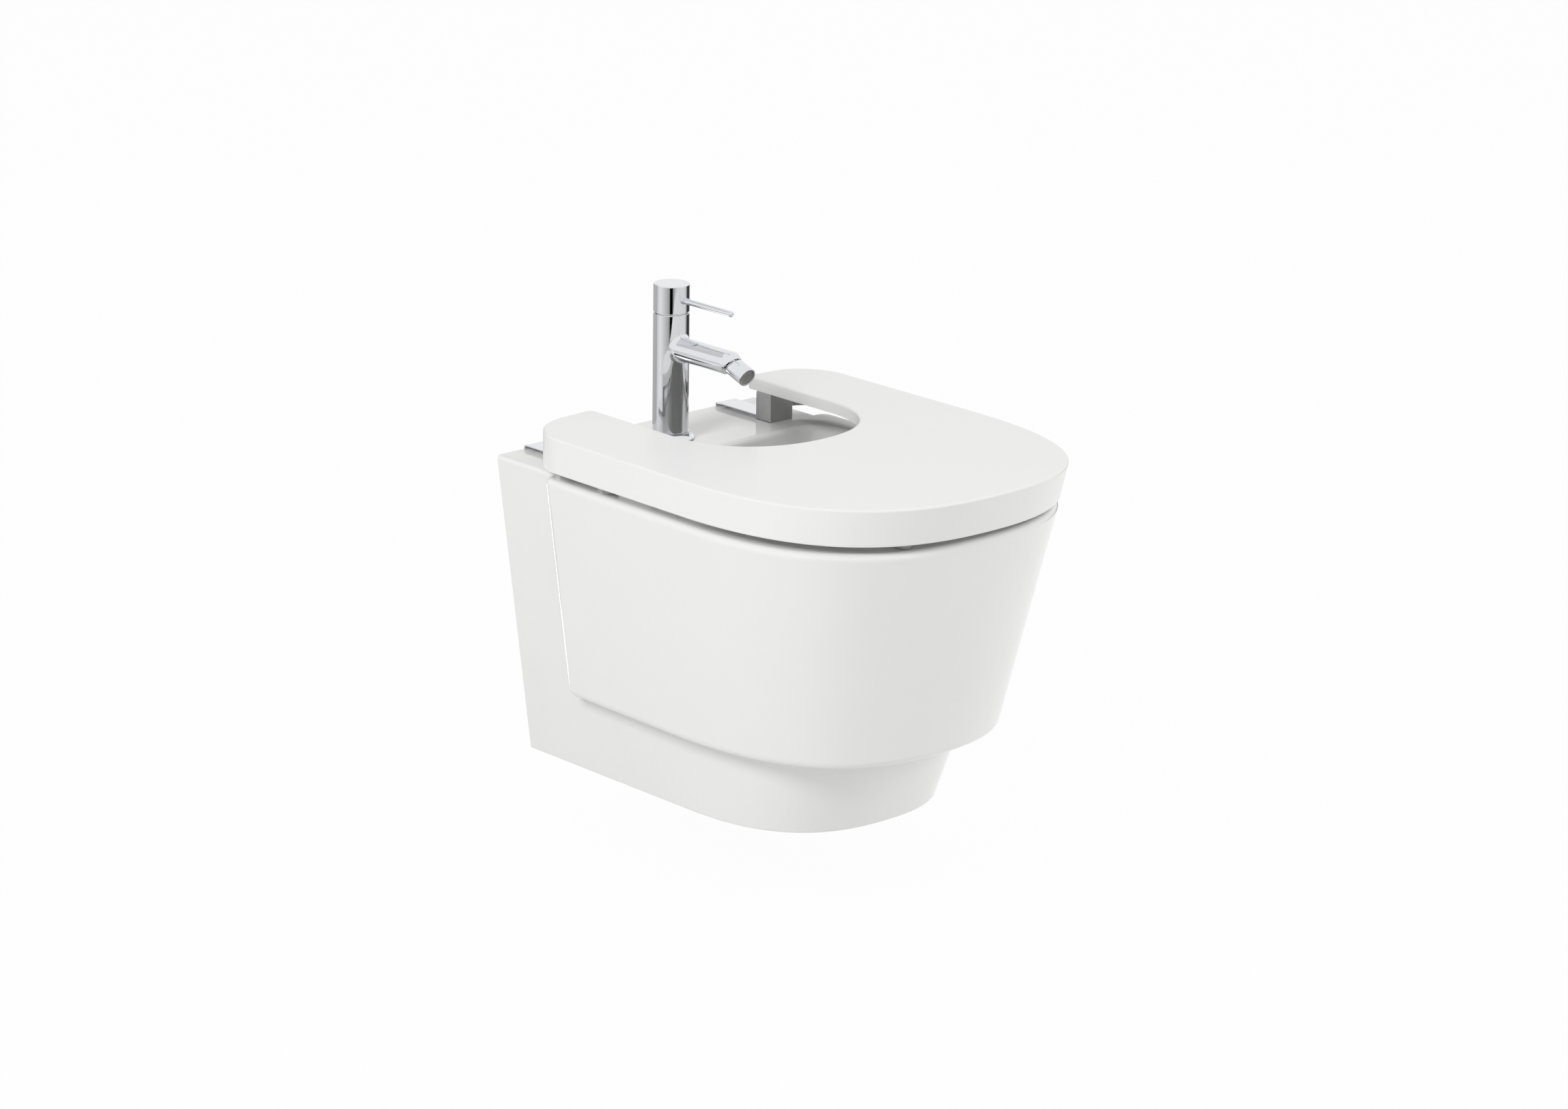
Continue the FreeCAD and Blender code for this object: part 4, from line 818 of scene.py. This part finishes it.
@dataclass
class Handle:
    """Cap and pin lever of the tap."""

    top_edge: float = 0.8
    low_edge: float = 0.35
    skirt: float = 1.0
    skirt_rise: float = 0.9
    wall_columns: int = 110
    dome_gap: float = 0.7
    dome_rows: int = 14
    lift_below_groove: float = 12.0
    stem: float = 4.1
    stem_top: float = 36.0
    lever: float = 3.0
    lever_tip: float = 1.4
    lever_parts: int = 64
    collar: float = 2.4
    collar_edge: float = 0.6
    collar_fillet: float = 0.2
    grub_hole: float = 2.1
    grub_depth: float = 6.0
    grub_edge: float = 0.3
    grub_field: float = 4.0
    grub_parts: int = 10
    grub_rings: int = 4

    def __post_init__(self) -> None:
        """Read the cap's and the lever's places from the frame."""
        cap, lever, column = NodeBox.of("handle_cap"), NodeBox.of("pin_lever"), NodeBox.of("tap_column")
        self.foot, self.radius = cap.foot, cap.half[0]
        self.low, self.high = cap.low[2], cap.high[2]
        self.lift = column.high[2] - self.lift_below_groove
        self.dome = sqrt(self.radius ** 2 + self.lift_below_groove ** 2) + self.dome_gap
        self.lever_height, self.collar_radius = lever.centre[2], lever.half[0]
        self.lever_root, self.lever_end = lever.profile[:2]

    def cap(self) -> Surface:
        """Turn the cap, hollow over the valve's dome, with the grub screw's hole in its back.

        The wall leaves out a square field behind, which takes the hole.

        Returns:
            The cap's surface.
        """
        swing = self.grub_field / self.radius
        field_turn = np.linspace(-swing, swing, self.grub_parts + 1)
        rest_turn = np.linspace(swing, 2 * pi - swing, self.wall_columns)
        angles = np.concatenate([field_turn, rest_turn[1:-1]]) + pi / 2
        ring = np.stack([np.cos(angles), np.sin(angles)], axis=1)
        bottom, top = self.lever_height - self.grub_field, self.lever_height + self.grub_field
        brim, blind = self.radius - self.skirt, self.lift + self.stem_top
        sweep = np.linspace(np.arcsin(self.stem / self.dome), np.arcsin(brim / self.dome), self.dome_rows)
        hollow = np.stack([self.dome * np.sin(sweep), self.lift + self.dome * np.cos(sweep)], axis=1)
        wall = rounded([(brim, self.low + self.skirt_rise, 0), (self.radius, self.low, self.low_edge),
                        (self.radius, bottom, 0)])
        under = np.concatenate([[(0, blind), (self.stem, blind)], hollow, wall])
        over = rounded([(self.radius, top, 0), (self.radius, self.high, self.top_edge), (0, self.high, 0)])
        heights = np.linspace(bottom, top, self.grub_parts + 1)
        band = np.stack([np.full_like(heights, self.radius), heights], axis=1)
        surface = Surface().patch(self.upright(under, ring)).patch(self.upright(over, ring))
        for stretch in (ring[self.grub_parts:], ring[[-1, 0]]):
            surface.patch(self.upright(band, stretch), wrap=False)
        return self.grub_screw_hole(surface)

    def upright(self, profile: Array, ring: Array) -> Array:
        """Stand a profile on each direction of a ring.

        Args:
            profile: rows of radius and height.
            ring: rows of x and y, one long.

        Returns:
            A grid of points by profile row and direction.
        """
        flat = profile[:, None, :1] * ring[None]
        height = np.broadcast_to(profile[:, None, 1:], (*flat.shape[:2], 1))
        return self.foot + np.concatenate([flat, height], axis=-1)

    def grub_screw_hole(self, surface: Surface) -> Surface:
        """Add the square field and the hole in it.

        Rings pass from the square to the hole's circle in even shares, each at the cylinder's own depth
        sqrt(R * R - x * x), and then go down into the hole.

        Args:
            surface: the cap's surface without the field.

        Returns:
            The same surface.
        """
        share = np.linspace(-1, 1, self.grub_parts + 1)[:-1]
        one = np.ones_like(share)
        square = np.concatenate([np.stack(side, axis=1) for side in (
            (share, -one), (one, share), (-share, one), (-one, -share))])
        outer = np.stack([self.radius * np.sin(square[:, 0] * self.grub_field / self.radius),
                          square[:, 1] * self.grub_field], axis=1)
        inner = unit(outer)
        mix = np.linspace(0, 1, self.grub_rings + 1)[:, None, None]
        field_rings = (1 - mix) * outer + mix * inner * (self.grub_hole + self.grub_edge)
        sweep = quarter(self.grub_rings)[:, None, None]
        lip_rings = inner * (self.grub_hole + self.grub_edge * (1 - np.sin(sweep)))
        flat = np.concatenate([field_rings, lip_rings, inner[None] * self.grub_hole])
        sunk = np.concatenate([0 * mix, self.grub_edge * (1 - np.cos(sweep)), [[[self.grub_depth]]]])[..., 0]
        back = np.sqrt(self.radius ** 2 - flat[..., 0] ** 2) - sunk
        grid = self.foot + np.stack([flat[..., 0], back, self.lever_height + flat[..., 1]], axis=-1)
        return surface.patch(grid).cap(grid[-1])

    def pin(self) -> Surface:
        """Turn the lever: a pin with a rounded tip and a collar at its root.

        Returns:
            The lever's surface.
        """
        seat = -self.foot[1] + self.radius - self.collar / 2
        face = seat + self.collar
        profile = rounded([(0, self.lever_root, 0), (self.lever, self.lever_root, 0), (self.lever, seat, 0),
                           (self.collar_radius, seat, 0), (self.collar_radius, face, self.collar_edge),
                           (self.lever, face, self.collar_fillet),
                           (self.lever, self.lever_end, self.lever_tip), (0, self.lever_end, 0)])
        foot = np.array((self.foot[0], 0.0, self.lever_height))
        return Surface().patch(turned(profile, foot, ROOMWARD, circle(self.lever_parts)))

    def build(self) -> None:
        """Make the pieces."""
        place(self.cap(), "chromed_handle_cap", Body.HANDLE, Slot.CHROME, "handle_cap")
        place(self.pin(), "chromed_pin_lever", Body.HANDLE, Slot.CHROME, "pin_lever")


@dataclass
class LidHinges:
    """Posts and cover plates of the two hinges on the deck."""

    post_edge: float = 0.7
    post_foot: float = 0.3
    nose: float = 6.2
    front: float = 5.0
    post_steps: int = 12
    sheet: float = 1.1
    bend: float = 3.0
    cover_edge: float = 0.25
    cover_steps: int = 10

    def post(self, node: str) -> Surface:
        """Carry the post's outline across: a block with a round nose behind and a rounded front.

        Args:
            node: the post's CAD node.

        Returns:
            The post's surface.
        """
        box = NodeBox.of(node)
        rear, front, low, high = box.profile
        outline = rounded([(rear, low, self.post_foot), (front, low, self.post_foot),
                           (front, high, self.front), (rear, high, self.nose)],
                          closed=True, steps=self.post_steps)
        return Surface().capped(inset_prism(outline, box.low[0], box.high[0], self.post_edge))

    def cover(self, node: str) -> Surface:
        """Carry the bent sheet's outline across: a flat plate and a lip down to the deck behind.

        Args:
            node: the cover's CAD node.

        Returns:
            The cover's surface.
        """
        box, soft = NodeBox.of(node), self.cover_edge
        rear, front, low, high = box.profile
        inside, under = rear + self.sheet, high - self.sheet
        outline = rounded([(rear, low, soft), (inside, low, soft), (inside, under, self.bend - self.sheet),
                           (front, under, soft), (front, high, soft), (rear, high, self.bend)],
                          closed=True, steps=self.cover_steps)
        return Surface().capped(inset_prism(outline, box.low[0], box.high[0], soft))

    def build(self) -> None:
        """Make the pieces of both sides."""
        for side in ("right", "left"):
            post, cover = "hinge_post_" + side, "hinge_cover_" + side
            place(self.post(post), "satin_post_" + side, Body.PAN, Slot.SATIN, post)
            place(self.cover(cover), "bent_cover_" + side, Body.PAN, Slot.CHROME, cover)


@dataclass
class Waste:
    """Flange with its threaded tail, and the push plug."""

    bore: float = 18.0
    flange: float = 3.5
    mouth: float = 1.0
    rim_edge: float = 1.2
    tail: float = 20.955
    pitch: float = 2.309
    thread: float = 1.1
    plain: float = 14.0
    plug_edge: float = 1.0
    plug_foot: float = 0.4
    plug_dome: float = 3.5
    dome_rows: int = 24

    def flange_and_tail(self) -> Surface:
        """Turn the flange and its bore, and wind the pipe thread round its tail.

        Returns:
            The surface of both.
        """
        box = NodeBox.of("waste_flange")
        low, high, rim = box.low[2], box.high[2], box.half[0]
        under = high - self.flange
        start = under - self.plain
        body = rounded([(self.tail, low, 0), (self.bore, low, 0), (self.bore, high, self.mouth),
                        (rim, high, self.rim_edge), (rim, under, self.rim_edge / 2), (self.tail, under, 0),
                        (self.tail, start, 0)])
        thread = threaded(self.tail, self.thread, self.pitch, low, start, box.foot)
        return Surface().patch(turned(body, box.foot, UP, circle(THREAD_PARTS))).patch(thread)

    def plug(self) -> Surface:
        """Turn the plug: its top is a spherical cap of the stated rise over a rounded rim.

        Returns:
            The plug's surface.
        """
        box = NodeBox.of("waste_plug")
        low, high, rim = box.low[2], box.high[2], box.half[0]
        sphere = (rim ** 2 + self.plug_dome ** 2) / (2 * self.plug_dome)
        sweep = np.linspace(np.arcsin((rim - self.plug_edge) / sphere), 0, self.dome_rows)
        dome = np.stack([sphere * np.sin(sweep), high - sphere + sphere * np.cos(sweep)], axis=1)
        edge = rounded([(0, low, 0), (rim, low, self.plug_foot), (rim, high - self.plug_dome, self.plug_edge),
                        (*dome[0], 0)])
        return Surface().patch(turned(np.concatenate([edge, dome[1:]]), box.foot, UP))

    def build(self) -> None:
        """Make the pieces."""
        place(self.flange_and_tail(), "chromed_waste_flange", Body.PAN, Slot.CHROME, "waste_flange")
        place(self.plug(), "chromed_waste_plug", Body.PLUG, Slot.CHROME, "waste_plug")


# Setting

@dataclass(frozen=True)
class StudioLamp:
    """A square soft box that faces the object; gloss reflects the set's cards in its place."""

    name: str
    place: tuple[float, float, float]
    size: float
    power: float
    target: tuple[float, float, float] = (0.0, -0.25, 0.0)

    def build(self) -> None:
        """Hang the lamp."""
        light = bpy.data.lights.new(self.name, "AREA")
        light.shape, light.size, light.energy = "SQUARE", self.size, self.power
        lamp = hang(self.name, light)
        lamp.location = self.place
        lamp.visible_glossy = False
        aim = Vector(self.target) - Vector(self.place)
        lamp.rotation_euler = aim.to_track_quat("-Z", "Y").to_euler()


def drum(middle: tuple[float, float], radius: float, bearing: Array, heights: tuple[float, float]) -> Array:
    """Lay out a stretch of an upright drum, one row of points at each height.

    Args:
        middle: the axis's x and y.
        radius: the drum's radius.
        bearing: the columns' angles, in radians.
        heights: the rows' heights.

    Returns:
        The points, rows by columns by 3.
    """
    ring = np.stack([middle[0] + radius * np.cos(bearing), middle[1] + radius * np.sin(bearing),
                     0 * bearing], axis=1)
    return ring + np.array([(0, 0, height) for height in heights])[:, None]


@dataclass(frozen=True)
class ReflectedCard:
    """A card of the set that only gloss reflects, and only its front."""

    name: str

    def grid(self) -> tuple[Array, Array]:
        """Lay out the card's points and the tone at each."""
        raise NotImplementedError

    def paint(self) -> bpy.types.Material:
        """Make the card's paint: it shines with the attribute tone, and is clear from behind.

        Returns:
            The paint's material.
        """
        paint = bpy.data.materials.new(self.name)
        paint.cycles.emission_sampling = "NONE"
        tree = bare_tree(paint)
        tone = add_node(tree, "ShaderNodeAttribute", {"attribute_name": "tone"}).outputs["Fac"]
        glow = add_node(tree, "ShaderNodeEmission", inputs={"Color": WHITE, "Strength": tone})
        clear = add_node(tree, "ShaderNodeBsdfTransparent")
        behind = add_node(tree, "ShaderNodeNewGeometry").outputs["Backfacing"]
        mix = add_node(tree, "ShaderNodeMixShader", inputs={
            0: behind, 1: glow.outputs[0], 2: clear.outputs[0]})
        add_node(tree, "ShaderNodeOutputMaterial", inputs={"Surface": mix.outputs[0]})
        return paint

    def build(self) -> None:
        """Hang the card and hide it from all but glossy rays."""
        points, tones = self.grid()
        card = Surface().patch(points, wrap=False).build(self.name, outward=False)
        card.data.attributes.new("tone", "FLOAT", "POINT").data.foreach_set("value", tones.ravel())
        card.data.materials.append(self.paint())
        card.visible_camera = card.visible_diffuse = card.visible_shadow = False
        card.visible_transmission = card.visible_volume_scatter = False


@dataclass(frozen=True)
class GreyRoll(ReflectedCard):
    """A roll of card that stands round the set, well off the object: grey and white, with two black strips.

    Where the tap column's normal stands off the viewer's bearing by the angle d, a ray leaves it at the
    bearing viewer + 2 * d and meets the roll there. The tones run with sin(d), which is the share of the
    column's half width.
    """

    radius: float = 1100.0
    heights: tuple[float, float] = (50.0, -200.0)
    middle: tuple[float, float] = (0.0, -61.0)
    viewer: float = -131.3
    widest: float = 0.999
    columns: int = 241
    tones: tuple[tuple[float, float], ...] = (
        (-0.9, 0.5), (-0.6, 0.95), (-0.12, 0.42), (-0.07, 0.0), (0.06, 0.0), (0.11, 0.42), (0.45, 0.85),
        (0.75, 0.8), (0.85, 0.05), (0.95, 0.05), (1.0, 0.6))

    def grid(self) -> tuple[Array, Array]:
        """Lay out the roll from its upper to its lower edge.

        Returns:
            Its points and the tone at each.
        """
        share = np.linspace(-self.widest, self.widest, self.columns)
        rows = drum(self.middle, self.radius, radians(self.viewer) + 2 * np.arcsin(share), self.heights)
        return rows, np.tile(np.interp(share, *np.transpose(self.tones)), 2)


@dataclass(frozen=True)
class EdgeStrip(ReflectedCard):
    """A bright strip behind the tier's left rear corner: a stretch of a drum round that corner."""

    middle: tuple[float, float] = (-187.0, -90.0)
    radius: float = 450.0
    bearings: tuple[float, float] = (62.0, 92.0)
    columns: int = 17
    heights: tuple[float, float] = (-30.0, -360.0)
    tone: float = 3.5

    def grid(self) -> tuple[Array, Array]:
        """Lay out the strip from its upper to its lower edge.

        Returns:
            Its points and the tone at each.
        """
        bearing = np.radians(np.linspace(*self.bearings, self.columns))
        rows = drum(self.middle, self.radius, bearing, self.heights)
        return rows, np.full(rows.shape[:2], self.tone)


@dataclass(frozen=True)
class FlatCard(ReflectedCard):
    """A flat card, graded from its first edge to the one across; its front looks towards along x across."""

    corner: tuple[float, float, float]
    along: tuple[float, float, float]
    across: tuple[float, float, float]
    tones: tuple[float, float]

    def grid(self) -> tuple[Array, Array]:
        """Lay out the card's four corners.

        Returns:
            Its points and the tone at each.
        """
        corner, along, across = np.array((self.corner, self.along, self.across))
        rows = np.array([[corner, corner + along], [corner + across, corner + along + across]])
        return rows, np.repeat(self.tones, 2)


@dataclass
class Studio:
    """White set, soft lamps and the camera."""

    sky: float = 0.57
    floor_height: float = -305.0
    floor_half: float = 6000.0
    floor_tone: str = "#E4E4E4"
    shadow_share: float = 0.03
    lamps: tuple[StudioLamp, ...] = (
        StudioLamp("key_soft_box", (-3.4, -0.9, 2.6), 1.2, 78.0),
        StudioLamp("fill_soft_box", (2.7, -2.7, 1.4), 1.6, 46.0),
    )
    cards: tuple[ReflectedCard, ...] = (
        GreyRoll("grey_roll_round_the_set"),
        EdgeStrip("bright_strip_behind_the_tier"),
        FlatCard("graded_card_behind_the_tap", (-450.0, 500.0, -100.0), (650.0, 0.0, 0.0),
                 (0.0, 0.0, 950.0), (0.48, 0.75)),
        FlatCard("dark_card_low_behind_the_tap", (-450.0, 500.0, -300.0), (800.0, 0.0, 0.0),
                 (0.0, 0.0, 200.0), (0.1, 0.2)),
    )
    camera_place: tuple[float, float, float] = (-3.12558, -3.61410, 1.42215)
    azimuth: float = 0.745554
    elevation: float = 0.296538
    roll: float = 0.0157383
    focal_pixels: float = 7293.24
    frame_pixels: int = 2296
    sensor: float = 36.0
    far_end: float = 100.0

    def seen_directly(self, tree: bpy.types.NodeTree) -> Socket:
        """Add the nodes that tell the rays that show a surface from those that only light others.

        Args:
            tree: the node tree that takes them.

        Returns:
            The output that is 1 for camera, glossy and transmitted rays.
        """
        path = add_node(tree, "ShaderNodeLightPath").outputs
        first = add_node(tree, "ShaderNodeMath", {"operation": "MAXIMUM"}, {
            0: path["Is Camera Ray"], 1: path["Is Glossy Ray"]})
        both = add_node(tree, "ShaderNodeMath", {"operation": "MAXIMUM"}, {
            0: first.outputs[0], 1: path["Is Transmission Ray"]})
        return both.outputs[0]

    def world(self) -> None:
        """Light the set from all round, with a white background where it is seen."""
        world = bpy.data.worlds.new("white_studio")
        bpy.context.scene.world = world
        tree = bare_tree(world)
        light = add_node(tree, "ShaderNodeBackground", inputs={"Color": WHITE, "Strength": self.sky})
        white = add_node(tree, "ShaderNodeBackground", inputs={"Color": WHITE, "Strength": 1.0})
        mix = add_node(tree, "ShaderNodeMixShader", inputs={
            0: self.seen_directly(tree), 1: light.outputs[0], 2: white.outputs[0]})
        add_node(tree, "ShaderNodeOutputWorld", inputs={"Surface": mix.outputs[0]})

    def floor(self) -> None:
        """Lay the floor below the pan: white where it is seen, with a trace of the shadow on it."""
        side = np.array((-self.floor_half, self.floor_half))
        grid = np.stack([*np.meshgrid(side, side), np.full((2, 2), self.floor_height)], axis=-1)
        floor = Surface().patch(grid, wrap=False).build("studio_floor")
        paint = bpy.data.materials.new("white_studio_floor")
        tree = bare_tree(paint)
        lit = add_node(tree, "ShaderNodeBsdfDiffuse", inputs={"Color": linear(self.floor_tone)})
        white = add_node(tree, "ShaderNodeEmission", inputs={"Color": WHITE, "Strength": 1.0})
        share = add_node(tree, "ShaderNodeMath", {"operation": "MULTIPLY"}, {
            0: self.seen_directly(tree), 1: 1 - self.shadow_share})
        mix = add_node(tree, "ShaderNodeMixShader", inputs={
            0: share.outputs[0], 1: lit.outputs[0], 2: white.outputs[0]})
        add_node(tree, "ShaderNodeOutputMaterial", inputs={"Surface": mix.outputs[0]})
        floor.data.materials.append(paint)

    def camera(self) -> None:
        """Set the camera where the photograph was taken from."""
        a, e = self.azimuth, self.elevation
        back = Vector((-sin(a) * cos(e), -cos(a) * cos(e), sin(e)))
        right = (-back).cross(Vector(UP)).normalized()
        up = back.cross(right)
        c, s = cos(self.roll), sin(self.roll)
        across, over = c * right + s * up, c * up - s * right
        lens = bpy.data.cameras.new("photograph_view")
        lens.sensor_width, lens.sensor_fit = self.sensor, "HORIZONTAL"
        lens.lens = self.focal_pixels / self.frame_pixels * self.sensor
        lens.clip_end = self.far_end
        camera = hang("photograph_view", lens)
        turn = Matrix((across, over, back)).transposed().to_4x4()
        camera.matrix_world = Matrix.Translation(self.camera_place) @ turn
        bpy.context.scene.camera = camera

    def build(self) -> None:
        """Make the set."""
        bpy.context.scene.view_settings.view_transform = "Standard"
        self.world()
        self.floor()
        for item in (*self.lamps, *self.cards):
            item.build()
        self.camera()


def dress_frame() -> None:
    """Give every CAD node the finish of its slot."""
    for part in frame["record"]["subparts"]:
        node = frame["nodes"][part["node"]]
        finish = FINISHES[Slot(part["material_slot"])].material()
        for slot in node.material_slots:
            slot.material = finish
        LOG.info("%s: %s", part["node"], finish.name)


def main() -> None:
    """Dress the frame, build each sub-assembly and set up the studio."""
    logging.basicConfig(level=logging.INFO, format="%(name)s %(message)s")
    dress_frame()
    for assembly in (TapBody(), Nozzle(), Handle(), LidHinges(), Waste(), Studio()):
        assembly.build()


if __name__ == "__main__":
    main()
